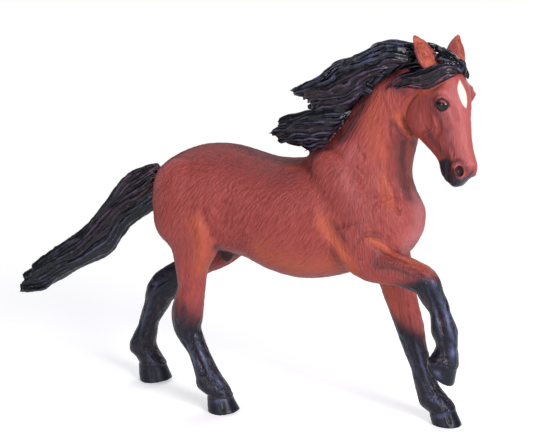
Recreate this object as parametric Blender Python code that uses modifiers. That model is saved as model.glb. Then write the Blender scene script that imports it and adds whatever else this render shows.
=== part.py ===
"""Toy stallion with one foreleg raised, moulded in ten pieces that plug together and are glued.

The frame is +X to the horse's front, +Y to its left and +Z up, in metres. The solid is first modelled
as one lump of clay, made of lofts along the trunk, neck, head and legs. The lump is then cut into the
mouldings along their parting faces, which get a gap, and each moulding gets its spigot, pins or sockets.
"""

import math

import bmesh
import bpy
from mathutils import Matrix, Vector

# Driving sizes of the figure
WITHERS_HEIGHT = 0.080
BODY_LENGTH = 0.080
BARREL_WIDTH = 0.031
HEAD_LENGTH = 0.0337
HEAD_YAW = math.radians(-29.5)
HEAD_PITCH = math.radians(15.5)
NECK_SWAY = 0.0065
EAR_LENGTH = 0.0097
EAR_WIDTH = 0.0064
EAR_THICKNESS = 0.0036

# Depth of the limbs from front to back
ELBOW_DEPTH = 0.0130
FOREARM_DEPTH = 0.0092
KNEE_DEPTH = 0.0080
FORE_CANNON_DEPTH = 0.0059
THIGH_DEPTH = 0.0235
STIFLE_DEPTH = 0.0172
GASKIN_DEPTH = 0.0104
GASKIN_WAIST_DEPTH = 0.0084
HOCK_DEPTH = 0.0101
HIND_CANNON_DEPTH = 0.0058
FETLOCK_DEPTH = 0.0073
PASTERN_DEPTH = 0.0061
CORONET_DEPTH = 0.0078
HOOF_LENGTH = 0.0088

# How wide each leg is beside its depth, from inside the trunk down to the sole
ARMPIT_FLARE_SHARES = (1.3, 1.1)
FORELEG_WIDTH_SHARES = (0.60, 0.66, 0.78, 0.92, 0.92, 0.96, 0.96, 0.96, 0.96, 0.96, 1.0, 1.0, 1.0)
HIND_LEG_WIDTH_SHARES = (0.52, 0.52, 0.61, 0.90, 0.90, 0.77, 0.90, 0.96, 0.96, 0.96, 0.96, 1.0, 1.0, 1.0)

# Mane, forelock and tail
MANE_PEG_SLOPE = math.radians(-49)
MANE_LOCK_WIDTH = 0.0078
MANE_LOCK_THICKNESS = 0.0042
LOCK_ROOT_SHARE = 0.80
LOCK_SWELL_SHARE = 0.25
LOCK_TAPER_SHARE = 0.58
FORELOCK_WIDTH = 0.0060
FORELOCK_THICKNESS = 0.0030
TAIL_WIDTH = 0.0100
TAIL_THICKNESS = 0.0078

# How the mouldings part, plug together and are held in line
PARTING_GAP = 0.0003
FIT_GAP = 0.0003
GROWTH_MARGIN = 1.2
BARREL_WALL = 0.0030
SPIGOT_RADIUS = 0.0024
SPIGOT_REACH = 0.0050
SPIGOT_ROOT = 0.0040
HEAD_SPIGOT_RADIUS = 0.0030
PIN_RADIUS = 0.0014
PIN_REACH = 0.0040
PIN_ROOT = 0.0030
HAIR_PEG_RADIUS = 0.0011
HAIR_PEG_REACH = 0.0035

# Modelling grain: the clay's voxels, its smoothing and the facets left at the end
CLAY_VOXEL = 0.0008
HAIR_VOXEL = 0.0006
CLAY_FACET_SHARE = 0.058
HAIR_FACET_SHARE = 0.045
LOFT_SIDES = 24
ROUND_SIDES = 16
TRUNK_SQUARENESS = 2.25
NECK_SQUARENESS = 2.1
LEG_SQUARENESS = 2.1
SHEET_STEPS = 24
CLAY_SMOOTHING_STEPS = 5
HAIR_SMOOTHING_STEPS = 2
LOCK_STEPS = 3
CUTTER_REACH = 0.100

BAY = (0.42, 0.115, 0.070, 1.0)
BLACK_POINTS = (0.018, 0.018, 0.026, 1.0)
HAIR_BLACK = (0.022, 0.017, 0.022, 1.0)

# Trunk, from buttock to breast: place along BODY_LENGTH, top and bottom as shares of WITHERS_HEIGHT,
# half width as a share of BARREL_WIDTH
TRUNK_SHARES = (
    (-0.455, 0.875, 0.775, 0.12),
    (-0.415, 0.925, 0.700, 0.29),
    (-0.350, 0.966, 0.640, 0.41),
    (-0.260, 0.992, 0.610, 0.475),
    (-0.150, 0.998, 0.600, 0.485),
    (-0.060, 0.982, 0.585, 0.47),
    (0.040, 0.962, 0.548, 0.50),
    (0.150, 0.970, 0.530, 0.515),
    (0.260, 0.985, 0.542, 0.49),
    (0.375, 0.970, 0.580, 0.45),
    (0.475, 0.940, 0.620, 0.41),
    (0.550, 0.885, 0.668, 0.33),
    (0.600, 0.830, 0.730, 0.19),
)
CAVITY_RANGE_SHARE = (-0.075, 0.305)

# Neck: throat point and crest point as (BODY_LENGTH, WITHERS_HEIGHT) shares, half width of BARREL_WIDTH
NECK_SHARES = (
    ((0.565, 0.760), (0.075, 0.890), 0.40),
    ((0.578, 0.845), (0.170, 0.985), 0.37),
    ((0.558, 0.925), (0.250, 1.055), 0.325),
    ((0.556, 1.005), (0.320, 1.140), 0.28),
    ((0.572, 1.075), (0.395, 1.225), 0.24),
    ((0.605, 1.140), (0.480, 1.290), 0.205),
    ((0.650, 1.190), (0.575, 1.330), 0.185),
)
SWAY_START_SHARE = 0.94
POLL_SHARE = (0.682, 1.346)

# Head, from poll to lips, as shares of HEAD_LENGTH: place down the face, brow or nose line in front of
# the axis, jaw line behind it, half width, and how square the section is
HEAD_SHARES = (
    (-0.05, 0.050, 0.120, 0.080, 2.0),
    (0.04, 0.125, 0.240, 0.140, 2.2),
    (0.16, 0.185, 0.350, 0.168, 2.5),
    (0.29, 0.205, 0.400, 0.176, 2.6),
    (0.41, 0.185, 0.410, 0.166, 2.5),
    (0.53, 0.160, 0.330, 0.136, 2.4),
    (0.65, 0.150, 0.215, 0.112, 2.3),
    (0.77, 0.162, 0.130, 0.102, 2.2),
    (0.87, 0.178, 0.128, 0.108, 2.2),
    (0.95, 0.140, 0.110, 0.092, 2.1),
    (1.01, 0.050, 0.060, 0.048, 2.0),
)
EAR_SEAT_SHARE = (0.030, 0.030, 0.118)
EAR_SPLAY = math.radians(24)
EAR_TILT = math.radians(8)

# Legs, from inside the trunk down to the sole: (BODY_LENGTH, BARREL_WIDTH, WITHERS_HEIGHT) shares
RIGHT_FORELEG_SHARES = (
    (0.385, -0.320, 0.760),
    (0.412, -0.335, 0.690),
    (0.465, -0.340, 0.638),
    (0.560, -0.325, 0.624),
    (0.625, -0.308, 0.610),
    (0.668, -0.300, 0.592),
    (0.688, -0.290, 0.540),
    (0.700, -0.275, 0.475),
    (0.711, -0.255, 0.395),
    (0.720, -0.248, 0.355),
    (0.718, -0.240, 0.312),
    (0.723, -0.235, 0.266),
    (0.727, -0.232, 0.228),
)
LEFT_FORELEG_SHARES = (
    (0.385, 0.305, 0.750),
    (0.425, 0.318, 0.630),
    (0.455, 0.312, 0.545),
    (0.490, 0.305, 0.440),
    (0.512, 0.300, 0.380),
    (0.527, 0.295, 0.335),
    (0.545, 0.290, 0.275),
    (0.572, 0.290, 0.190),
    (0.606, 0.290, 0.118),
    (0.638, 0.290, 0.083),
    (0.662, 0.290, 0.052),
    (0.682, 0.290, 0.010),
    (0.698, 0.290, -0.030),
)
RIGHT_HIND_LEG_SHARES = (
    (-0.275, -0.270, 0.825),
    (-0.262, -0.315, 0.712),
    (-0.235, -0.330, 0.630),
    (-0.252, -0.315, 0.555),
    (-0.258, -0.298, 0.462),
    (-0.280, -0.284, 0.368),
    (-0.278, -0.280, 0.295),
    (-0.246, -0.277, 0.218),
    (-0.212, -0.274, 0.150),
    (-0.184, -0.272, 0.106),
    (-0.156, -0.271, 0.076),
    (-0.140, -0.270, 0.050),
    (-0.130, -0.268, 0.008),
    (-0.122, -0.266, -0.030),
)
LEFT_HIND_LEG_SHARES = (
    (-0.250, 0.270, 0.825),
    (-0.235, 0.315, 0.712),
    (-0.215, 0.330, 0.630),
    (-0.275, 0.328, 0.550),
    (-0.370, 0.324, 0.490),
    (-0.505, 0.322, 0.392),
    (-0.542, 0.322, 0.318),
    (-0.572, 0.322, 0.248),
    (-0.596, 0.322, 0.190),
    (-0.608, 0.322, 0.140),
    (-0.584, 0.322, 0.104),
    (-0.566, 0.322, 0.068),
    (-0.548, 0.322, 0.015),
    (-0.538, 0.322, -0.030),
)

# Muscles that stand out of the lofts, mirrored: middle in place shares, half sizes as shares of
# BARREL_WIDTH, and how far the length tips down at the front
MUSCLE_SHARES = (
    ((-0.275, 0.320, 0.790), (0.330, 0.170, 0.440), -15),
    ((-0.205, 0.350, 0.670), (0.240, 0.135, 0.360), 22),
    ((0.370, 0.300, 0.835), (0.560, 0.165, 0.260), 58),
    ((0.425, 0.310, 0.700), (0.290, 0.180, 0.240), 20),
    ((0.512, 0.185, 0.765), (0.155, 0.165, 0.250), 0),
    ((0.360, 0.120, 1.010), (0.620, 0.130, 0.170), -58),
)
WITHERS_SHARE = ((0.180, 0.0, 0.930), (0.330, 0.120, 0.100))
LEFT_HAMSTRING_SHARE = ((-0.335, 0.325, 0.605), (0.185, 0.130, 0.270))
SHEATH_SHARE = ((-0.165, 0.0, 0.612), (0.180, 0.095, 0.130))

# Brow, nostril and cheek swellings on the head, mirrored: middle as (down the face, in front of the
# axis, out to the side), then half sizes the same way, all as shares of HEAD_LENGTH
FACE_SHARES = (
    ((0.315, 0.130, 0.148), (0.085, 0.055, 0.045)),
    ((0.885, 0.105, 0.078), (0.085, 0.065, 0.050)),
    ((0.370, -0.225, 0.115), (0.180, 0.165, 0.075)),
)

# Hair locks: path points as (BODY_LENGTH, BARREL_WIDTH, WITHERS_HEIGHT) shares, then width and
# thickness as shares of the named lock sizes
MANE_LOCK_SHARES = (
    (((0.650, -0.01, 1.325), (0.560, -0.01, 1.345), (0.460, 0.00, 1.290), (0.380, 0.00, 1.190),
      (0.300, 0.00, 1.095), (0.210, 0.00, 1.015), (0.150, 0.00, 0.990)), 1.15, 2.0),
    (((0.660, -0.02, 1.345), (0.610, -0.01, 1.365), (0.540, 0.02, 1.370), (0.460, 0.05, 1.346)), 1.00, 1.3),
    (((0.620, -0.17, 1.325), (0.560, -0.15, 1.368), (0.480, -0.11, 1.368), (0.400, -0.06, 1.335)), 1.00, 1.1),
    (((0.570, -0.22, 1.320), (0.500, -0.17, 1.358), (0.415, -0.12, 1.332), (0.335, -0.07, 1.278)), 1.00, 1.0),
    (((0.530, -0.24, 1.270), (0.450, -0.22, 1.310), (0.370, -0.17, 1.282), (0.305, -0.12, 1.238)), 1.05, 1.0),
    (((0.480, -0.22, 1.210), (0.400, -0.21, 1.245), (0.320, -0.16, 1.240), (0.240, -0.10, 1.218)), 1.05, 1.0),
    (((0.430, -0.17, 1.262), (0.335, -0.12, 1.268), (0.240, -0.08, 1.240), (0.165, -0.05, 1.220),
      (0.102, -0.03, 1.205)), 1.05, 1.0),
    (((0.400, -0.17, 1.215), (0.310, -0.17, 1.235), (0.225, -0.12, 1.222), (0.150, -0.07, 1.210)), 1.00, 1.0),
    (((0.365, -0.18, 1.160), (0.290, -0.17, 1.178), (0.225, -0.13, 1.175), (0.190, -0.10, 1.165)), 0.95, 1.0),
    (((0.345, -0.19, 1.110), (0.245, -0.17, 1.135), (0.160, -0.12, 1.112), (0.085, -0.08, 1.100),
      (0.045, -0.05, 1.098)), 0.95, 1.0),
    (((0.320, -0.19, 1.060), (0.230, -0.16, 1.085), (0.145, -0.12, 1.072), (0.070, -0.08, 1.062),
      (0.018, -0.06, 1.056)), 1.00, 1.0),
    (((0.280, -0.17, 1.015), (0.200, -0.14, 1.045), (0.130, -0.10, 1.040), (0.065, -0.07, 1.032)), 0.85, 1.0),
    (((0.490, 0.02, 1.310), (0.400, 0.10, 1.292), (0.300, 0.12, 1.248), (0.205, 0.08, 1.212)), 1.20, 1.1),
    (((0.400, 0.08, 1.235), (0.310, 0.16, 1.215), (0.230, 0.14, 1.180), (0.160, 0.09, 1.150)), 1.20, 1.1),
    (((0.330, 0.10, 1.130), (0.240, 0.16, 1.115), (0.150, 0.13, 1.095), (0.070, 0.08, 1.080)), 1.20, 1.1),
)

# Forelock: places on the head, as (down the face, in front of the axis, to the right) HEAD_LENGTH shares,
# then width, thickness and the way that the thickness lies
FORELOCK_LOCK_SHARES = (
    (((-0.10, 0.030, 0.00), (-0.04, 0.105, 0.00), (0.04, 0.160, 0.03), (0.09, 0.155, 0.08)),
     1.15, 1.2, (0, 1, 0)),
    (((0.00, 0.135, -0.04), (0.07, 0.165, 0.05), (0.095, 0.120, 0.135), (0.100, 0.010, 0.178),
      (0.090, -0.130, 0.195), (0.090, -0.270, 0.215), (0.140, -0.430, 0.235)), 1.05, 1.0, (0, 1, 1)),
    (((0.00, 0.120, -0.02), (0.06, 0.165, -0.05), (0.13, 0.178, -0.08)), 0.75, 0.9, (0, 1, 0)),
)

TAIL_LOCK_SHARES = (
    (((-0.395, 0.00, 0.860), (-0.470, 0.02, 0.862), (-0.560, 0.05, 0.822), (-0.650, 0.07, 0.748),
      (-0.745, 0.08, 0.640), (-0.850, 0.09, 0.560), (-0.970, 0.09, 0.482), (-1.085, 0.09, 0.398)), 0.70, 1.0),
    (((-0.395, 0.02, 0.815), (-0.480, 0.03, 0.812), (-0.580, 0.06, 0.755), (-0.670, 0.07, 0.662),
      (-0.765, 0.08, 0.580), (-0.880, 0.09, 0.500), (-1.010, 0.09, 0.422), (-1.130, 0.09, 0.352)), 0.85, 1.1),
    (((-0.405, 0.03, 0.768), (-0.490, 0.03, 0.765), (-0.585, 0.05, 0.690), (-0.660, 0.06, 0.602),
      (-0.760, 0.07, 0.532), (-0.880, 0.08, 0.455), (-0.990, 0.08, 0.386), (-1.100, 0.08, 0.340)), 0.70, 1.0),
)

# Parting faces: the corner where each leg's region starts, its pitch, and its inner face's distance out
HIND_PARTING_HEIGHT_SHARE = 0.582
HIND_INNER_FACE_SHARE = 0.10
HIND_FRONT_LIMIT_SHARE = -0.070
HIND_TOE_HEIGHT_SHARE = 0.40
LEFT_FORE_BACK_SHARE = 0.626
LEFT_FORE_INNER_SHARE = 0.100
LEFT_FORE_TOP_SHARE = 0.560
FOREARM_CORNER_SHARE = (-0.080, 0.585)
FOREARM_EXTRA_PITCH = math.radians(4.2)
RIGHT_FORE_INNER_SHARE = 0.165
RIGHT_FORE_SPIGOT_SHARE = 0.52
RIGHT_FORE_LOWER_SHARE = (0.375, 0.020, 0.560)
HEAD_PARTING_SHARE = (0.552, 0.0, 1.215)
HEAD_PARTING_PITCH = math.radians(-10)
HEAD_PARTING_YAW = math.radians(-12)
HEAD_FLOOR_SHARE = 1.095
PIN_SHARES = ((-0.330, 0.800), (-0.200, 0.720), (0.440, 0.745), (0.410, 0.985))
TAIL_ROOT_SHARE = (-0.440, 0.0, 0.812)
MANE_PEG_SHARES = ((0.255, 1.045), (0.400, 1.215))


def place(share):
    """A point from its shares of the body's length, the barrel's width and the height at the withers."""
    along, across, up = share
    return Vector((along * BODY_LENGTH, across * BARREL_WIDTH, up * WITHERS_HEIGHT))


def clamp(value):
    return min(1.0, max(0.0, value))


def sway(height):
    """How far to the side the neck's middle lies at a height: the neck turns to the horse's right."""
    start = SWAY_START_SHARE * WITHERS_HEIGHT
    full = POLL_SHARE[1] * WITHERS_HEIGHT
    turned = clamp((height - start) / (full - start))
    return -NECK_SWAY * turned**2


def clear_scene():
    for obj in list(bpy.data.objects):
        bpy.data.objects.remove(obj)


def new_collection(name):
    collection = bpy.data.collections.new(name)
    bpy.context.scene.collection.children.link(collection)
    return collection


def painted(name, colour, roughness):
    """A soft PVC moulding's painted finish."""
    material = bpy.data.materials.new(name)
    material.use_nodes = True
    shader = material.node_tree.nodes["Principled BSDF"]
    shader.inputs["Base Color"].default_value = colour
    shader.inputs["Roughness"].default_value = roughness
    material.diffuse_color = colour
    return material


def as_object(name, mesh, collection):
    obj = bpy.data.objects.new(name, mesh)
    collection.objects.link(obj)
    return obj


def hide_as_tool(obj):
    obj.hide_render = True
    obj.display_type = "WIRE"
    return obj


def ring(centre, across, along, squareness=2.0):
    """Points round a section whose half axes are two vectors. A squareness of 2 is an ellipse."""
    points = []
    for step in range(LOFT_SIDES):
        angle = 2 * math.pi * step / LOFT_SIDES
        side = math.copysign(abs(math.cos(angle)) ** (2 / squareness), math.cos(angle))
        depth = math.copysign(abs(math.sin(angle)) ** (2 / squareness), math.sin(angle))
        points.append(centre + across * side + along * depth)
    return points


def loft_into(shape, rings):
    """Adds a closed skin over unlike sections to a bmesh."""
    rows = [[shape.verts.new(point) for point in points] for points in rings]
    for row, following in zip(rows, rows[1:]):
        for step in range(len(row)):
            after = (step + 1) % len(row)
            shape.faces.new((row[step], row[after], following[after], following[step]))
    shape.faces.new(list(reversed(rows[0])))
    shape.faces.new(rows[-1])


def curve_through(points, steps):
    """A smooth Catmull-Rom curve through the points, with so many steps between each two."""
    points = [points[0] * 2 - points[1], *points, points[-1] * 2 - points[-2]]
    found = []
    for before, start, end, after in zip(points, points[1:], points[2:], points[3:]):
        for step in range(steps):
            t = step / steps
            found.append(
                0.5
                * (
                    2 * start
                    + (end - before) * t
                    + (2 * before - 5 * start + 4 * end - after) * t**2
                    + (3 * start - before - 3 * end + after) * t**3
                )
            )
    found.append(points[-2])
    return found


def path_rings(path, half_depths, half_widths, across_hint=Vector((0, 1, 0)), squareness=2.0):
    """Sections square to a path. The hint says which way the width lies."""
    rings = []
    for index, centre in enumerate(path):
        ahead = path[min(index + 1, len(path) - 1)] - path[max(index - 1, 0)]
        tangent = ahead.normalized()
        across = (across_hint - tangent * across_hint.dot(tangent)).normalized()
        along = tangent.cross(across)
        rings.append(ring(centre, across * half_widths[index], along * half_depths[index], squareness))
    return rings


def add_trunk(shape, wall=0.0, limits=None):
    """The trunk's loft. With a wall it is the hollow inside the barrel, between two places along it."""
    rings = []
    for along, top, bottom, half_width in TRUNK_SHARES:
        if limits and not limits[0] < along < limits[1]:
            continue
        high = top * WITHERS_HEIGHT - wall
        low = bottom * WITHERS_HEIGHT + wall
        centre = Vector((along * BODY_LENGTH, 0, (high + low) / 2))
        across = Vector((0, half_width * BARREL_WIDTH - wall, 0))
        rings.append(ring(centre, across, Vector((0, 0, (high - low) / 2)), TRUNK_SQUARENESS))
    loft_into(shape, rings)


def add_neck(shape):
    rings = []
    for throat, crest, half_width in NECK_SHARES:
        front = place((throat[0], 0, throat[1]))
        back = place((crest[0], 0, crest[1]))
        front.y = sway(front.z)
        back.y = sway(back.z)
        across = Vector((0, half_width * BARREL_WIDTH, 0))
        rings.append(ring((front + back) / 2, across, (back - front) / 2, NECK_SQUARENESS))
    loft_into(shape, rings)


def head_frame():
    """Columns: down the face, out of the brow, and to the horse's right. Its origin is the poll."""
    forward = Vector((math.cos(HEAD_YAW), math.sin(HEAD_YAW), 0))
    right = Vector((math.sin(HEAD_YAW), -math.cos(HEAD_YAW), 0))
    up = Vector((0, 0, 1))
    down_face = forward * math.sin(HEAD_PITCH) - up * math.cos(HEAD_PITCH)
    out_of_brow = forward * math.cos(HEAD_PITCH) + up * math.sin(HEAD_PITCH)
    frame = Matrix((down_face, out_of_brow, right)).transposed().to_4x4()
    poll_height = POLL_SHARE[1] * WITHERS_HEIGHT
    poll = Vector((POLL_SHARE[0] * BODY_LENGTH, sway(poll_height), poll_height))
    return Matrix.Translation(poll) @ frame


def on_head(share):
    return head_frame() @ (Vector(share) * HEAD_LENGTH)


def add_head(shape):
    rings = []
    turn = head_frame().to_3x3()
    for down, front, back, half_width, squareness in HEAD_SHARES:
        centre = on_head((down, (front - back) / 2, 0))
        across = turn @ Vector((0, 0, -half_width * HEAD_LENGTH))
        along = turn @ Vector((0, (front + back) / 2 * HEAD_LENGTH, 0))
        rings.append(ring(centre, across, along, squareness))
    loft_into(shape, rings)


def add_ear(shape, side):
    """An ear stands on the poll, leans out to its side and ends in a point."""
    turn = head_frame().to_3x3()
    down, front, out = EAR_SEAT_SHARE
    seat = on_head((down, front, out * side))
    up = turn @ Vector((-1, 0, 0))
    outward = turn @ Vector((0, 0, side))
    brow = turn @ Vector((0, 1, 0))
    lean = (up + outward * math.tan(EAR_SPLAY) - brow * math.tan(EAR_TILT)).normalized()
    across = (outward - lean * outward.dot(lean)).normalized()
    swell_shares = ((-0.25, 0.40), (0.0, 0.44), (0.30, 0.50), (0.60, 0.40), (0.85, 0.22), (1.0, 0.07))
    path = [seat + lean * rise * EAR_LENGTH for rise, _ in swell_shares]
    widths = [width * EAR_WIDTH for _, width in swell_shares]
    depths = [width * EAR_THICKNESS for _, width in swell_shares]
    loft_into(shape, path_rings(path, depths, widths, across))


def add_leg(shape, shares, depths, width_shares):
    path = [place(share) for share in shares]
    half_depths = [depth / 2 for depth in depths]
    half_widths = [half * share for half, share in zip(half_depths, width_shares)]
    loft_into(shape, path_rings(path, half_depths, half_widths, squareness=LEG_SQUARENESS))


def add_ellipsoid(shape, share, halves, pitch=0.0, side=1):
    middle = place(share)
    middle.y = middle.y * side + sway(middle.z)
    turn = Matrix.Rotation(math.radians(pitch), 4, "Y")
    size = Matrix.Diagonal((*[half * BARREL_WIDTH for half in halves], 1.0))
    bmesh.ops.create_uvsphere(
        shape,
        u_segments=LOFT_SIDES,
        v_segments=LOFT_SIDES // 2,
        radius=1.0,
        matrix=Matrix.Translation(middle) @ turn @ size,
    )


def add_face_swellings(shape):
    turn = head_frame()
    for share, halves in FACE_SHARES:
        for side in (-1, 1):
            middle = Vector((share[0], share[1], share[2] * side)) * HEAD_LENGTH
            size = Matrix.Diagonal((*[half * HEAD_LENGTH for half in halves], 1.0))
            bmesh.ops.create_uvsphere(
                shape,
                u_segments=LOFT_SIDES,
                v_segments=LOFT_SIDES // 2,
                radius=1.0,
                matrix=turn @ Matrix.Translation(middle) @ size,
            )


def add_muscles(shape):
    for share, halves, pitch in MUSCLE_SHARES:
        for side in (-1, 1):
            add_ellipsoid(shape, share, halves, pitch, side)
    add_ellipsoid(shape, *WITHERS_SHARE)
    add_ellipsoid(shape, *SHEATH_SHARE)
    add_ellipsoid(shape, *LEFT_HAMSTRING_SHARE)


def foreleg_depths():
    return (
        ELBOW_DEPTH * ARMPIT_FLARE_SHARES[0],
        ELBOW_DEPTH * ARMPIT_FLARE_SHARES[1],
        (ELBOW_DEPTH + FOREARM_DEPTH) / 2,
        FOREARM_DEPTH,
        (FOREARM_DEPTH + KNEE_DEPTH) / 2,
        KNEE_DEPTH,
        (KNEE_DEPTH + FORE_CANNON_DEPTH) / 2,
        FORE_CANNON_DEPTH,
        FETLOCK_DEPTH,
        PASTERN_DEPTH,
        CORONET_DEPTH,
        (CORONET_DEPTH + HOOF_LENGTH) / 2,
        HOOF_LENGTH,
    )


def hind_leg_depths():
    return (
        THIGH_DEPTH,
        THIGH_DEPTH,
        STIFLE_DEPTH,
        GASKIN_DEPTH,
        GASKIN_WAIST_DEPTH,
        HOCK_DEPTH,
        (HOCK_DEPTH + HIND_CANNON_DEPTH) / 2,
        HIND_CANNON_DEPTH,
        HIND_CANNON_DEPTH,
        FETLOCK_DEPTH,
        PASTERN_DEPTH,
        CORONET_DEPTH,
        (CORONET_DEPTH + HOOF_LENGTH) / 2,
        HOOF_LENGTH,
    )


def settled(name, shape, voxel, smoothing, facet_share, collection):
    """Melts overlapping lofts into one skin, smooths it and thins its facets. Returns the mesh."""
    mesh = bpy.data.meshes.new(name)
    shape.to_mesh(mesh)
    shape.free()
    obj = as_object(name, mesh, collection)
    remesh = obj.modifiers.new("one_skin", "REMESH")
    remesh.mode = "VOXEL"
    remesh.voxel_size = voxel
    smooth = obj.modifiers.new("blend", "SMOOTH")
    smooth.factor = 0.5
    smooth.iterations = smoothing
    thin = obj.modifiers.new("thin", "DECIMATE")
    thin.ratio = facet_share
    thin.use_collapse_triangulate = True
    finished = evaluated(obj)
    bpy.data.objects.remove(obj)
    return finished


def evaluated(obj):
    """The mesh of an object as its modifiers leave it."""
    bpy.context.view_layer.update()
    return bpy.data.meshes.new_from_object(obj.evaluated_get(bpy.context.evaluated_depsgraph_get()))


def clay_mesh(collection):
    """Trunk, neck, head, ears and legs melted into one skin."""
    shape = bmesh.new()
    add_trunk(shape)
    add_neck(shape)
    add_head(shape)
    add_ear(shape, 1)
    add_ear(shape, -1)
    add_face_swellings(shape)
    add_muscles(shape)
    for shares in (RIGHT_FORELEG_SHARES, LEFT_FORELEG_SHARES):
        add_leg(shape, shares, foreleg_depths(), FORELEG_WIDTH_SHARES)
    for shares in (RIGHT_HIND_LEG_SHARES, LEFT_HIND_LEG_SHARES):
        add_leg(shape, shares, hind_leg_depths(), HIND_LEG_WIDTH_SHARES)
    return settled("clay", shape, CLAY_VOXEL, CLAY_SMOOTHING_STEPS, CLAY_FACET_SHARE, collection)


def add_lock(shape, path, width, thickness, across_hint):
    """A hair lock: full at its root, swelling a little, and drawn out to a blunt tip."""
    path = curve_through(path, LOCK_STEPS)
    half_widths = []
    half_depths = []
    for index in range(len(path)):
        t = index / (len(path) - 1)
        swell = LOCK_ROOT_SHARE + LOCK_SWELL_SHARE * math.sin(math.pi * t) - LOCK_TAPER_SHARE * t**3
        half_widths.append(width / 2 * swell)
        half_depths.append(thickness / 2 * swell)
    loft_into(shape, path_rings(path, half_widths, half_depths, across_hint))


def hair_mesh(name, locks, collection):
    shape = bmesh.new()
    for path, width, thickness, hint in locks:
        add_lock(shape, path, width, thickness, hint)
    return settled(name, shape, HAIR_VOXEL, HAIR_SMOOTHING_STEPS, HAIR_FACET_SHARE, collection)


def mane_mesh(collection):
    side = Vector((0, 1, 0))
    locks = []
    for shares, width, thickness in MANE_LOCK_SHARES:
        path = []
        for share in shares:
            point = place(share)
            point.y += sway(point.z)
            path.append(point)
        locks.append((path, width * MANE_LOCK_WIDTH, thickness * MANE_LOCK_THICKNESS, side))
    return hair_mesh("mane_clay", locks, collection)


def forelock_mesh(collection):
    turn = head_frame().to_3x3()
    locks = []
    for shares, width, thickness, outward in FORELOCK_LOCK_SHARES:
        path = [on_head(share) for share in shares]
        hint = turn @ Vector(outward)
        locks.append((path, width * FORELOCK_WIDTH, thickness * FORELOCK_THICKNESS, hint))
    return hair_mesh("forelock_clay", locks, collection)


def tail_mesh(collection):
    side = Vector((0, 1, 0))
    locks = []
    for shares, width, thickness in TAIL_LOCK_SHARES:
        path = [place(share) for share in shares]
        locks.append((path, width * TAIL_WIDTH, thickness * TAIL_THICKNESS, side))
    return hair_mesh("tail_clay", locks, collection)


def box_between(name, low, high, collection, hinge=None, turn=None):
    """A cutter box between two corners, then turned about a hinge point."""
    low = Vector(low)
    high = Vector(high)
    shape = bmesh.new()
    bmesh.ops.create_cube(shape, size=1.0)
    size = high - low
    bmesh.ops.scale(shape, vec=size, verts=shape.verts)
    bmesh.ops.translate(shape, vec=(low + high) / 2, verts=shape.verts)
    if turn:
        bmesh.ops.rotate(shape, cent=hinge, matrix=turn, verts=shape.verts)
    return cutter(name, shape, collection)


def cutter(name, shape, collection):
    mesh = bpy.data.meshes.new(name)
    shape.to_mesh(mesh)
    shape.free()
    return hide_as_tool(as_object(name, mesh, collection))


def prism(name, outline, pull, collection):
    """A cutter made by pulling a flat outline along a vector."""
    shape = bmesh.new()
    face = shape.faces.new([shape.verts.new(point) for point in outline])
    pulled = bmesh.ops.extrude_face_region(shape, geom=[face])
    moved = [item for item in pulled["geom"] if isinstance(item, bmesh.types.BMVert)]
    bmesh.ops.translate(shape, vec=pull, verts=moved)
    bmesh.ops.recalc_face_normals(shape, faces=shape.faces)
    return cutter(name, shape, collection)


def rod(name, start, end, radius, collection):
    """A round pin, spigot or its hole between two points."""
    direction = end - start
    shape = bmesh.new()
    bmesh.ops.create_cone(
        shape,
        cap_ends=True,
        segments=ROUND_SIDES,
        radius1=radius,
        radius2=radius,
        depth=direction.length,
    )
    turn = direction.to_track_quat("Z", "Y").to_matrix().to_4x4()
    shape.transform(Matrix.Translation((start + end) / 2) @ turn)
    return cutter(name, shape, collection)


def boolean(obj, tool, operation, folded=False):
    """Adds a cut, join or crop. A folded tool's own skin may cross itself."""
    modifier = obj.modifiers.new(tool.name, "BOOLEAN")
    modifier.operation = operation
    modifier.object = tool
    modifier.solver = "EXACT"
    modifier.use_self = folded


def side_region(name, side, collection):
    """Everything on one side of the parting sheet, which follows the neck's sway."""
    behind = -2 * CUTTER_REACH
    low = -CUTTER_REACH
    high = 2 * CUTTER_REACH
    start = SWAY_START_SHARE * WITHERS_HEIGHT
    poll = POLL_SHARE[1] * WITHERS_HEIGHT
    bends = [start + (poll - start) * step / SHEET_STEPS for step in range(SHEET_STEPS + 1)]
    outline = [Vector((behind, sway(up) + side * PARTING_GAP / 2, up)) for up in (low, *bends, high)]
    far = side * CUTTER_REACH
    outline += [Vector((behind, far, high)), Vector((behind, far, low))]
    return prism(name, outline, Vector((4 * CUTTER_REACH, 0, 0)), collection)


def hind_region(name, side, gap, collection):
    """Below the stifle, behind the belly; lower down it reaches forward past the toe."""
    reach = CUTTER_REACH
    top = HIND_PARTING_HEIGHT_SHARE * WITHERS_HEIGHT + gap
    front = HIND_FRONT_LIMIT_SHARE * BODY_LENGTH + gap
    toe_top = HIND_TOE_HEIGHT_SHARE * WITHERS_HEIGHT + gap
    toe_front = RIGHT_HIND_LEG_SHARES[-1][0] * BODY_LENGTH + HOOF_LENGTH + gap
    inner = side * (HIND_INNER_FACE_SHARE * BARREL_WIDTH - gap)
    corners = (
        (-reach, -reach),
        (toe_front, -reach),
        (toe_front, toe_top),
        (front, toe_top),
        (front, top),
        (-reach, top),
    )
    outline = [Vector((along, inner, up)) for along, up in corners]
    return prism(name, outline, Vector((0, side * reach, 0)), collection)


def forearm_parting():
    """The upper rear corner of the raised leg's region, and its pitch, from the forearm's own line."""
    elbow = place(RIGHT_FORELEG_SHARES[2])
    knee = place(RIGHT_FORELEG_SHARES[5])
    slope = math.atan2(elbow.z - knee.z, knee.x - elbow.x)
    back, above = FOREARM_CORNER_SHARE
    corner = Vector((elbow.x + back * ELBOW_DEPTH, 0, elbow.z + above * ELBOW_DEPTH))
    return corner, slope + FOREARM_EXTRA_PITCH


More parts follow.
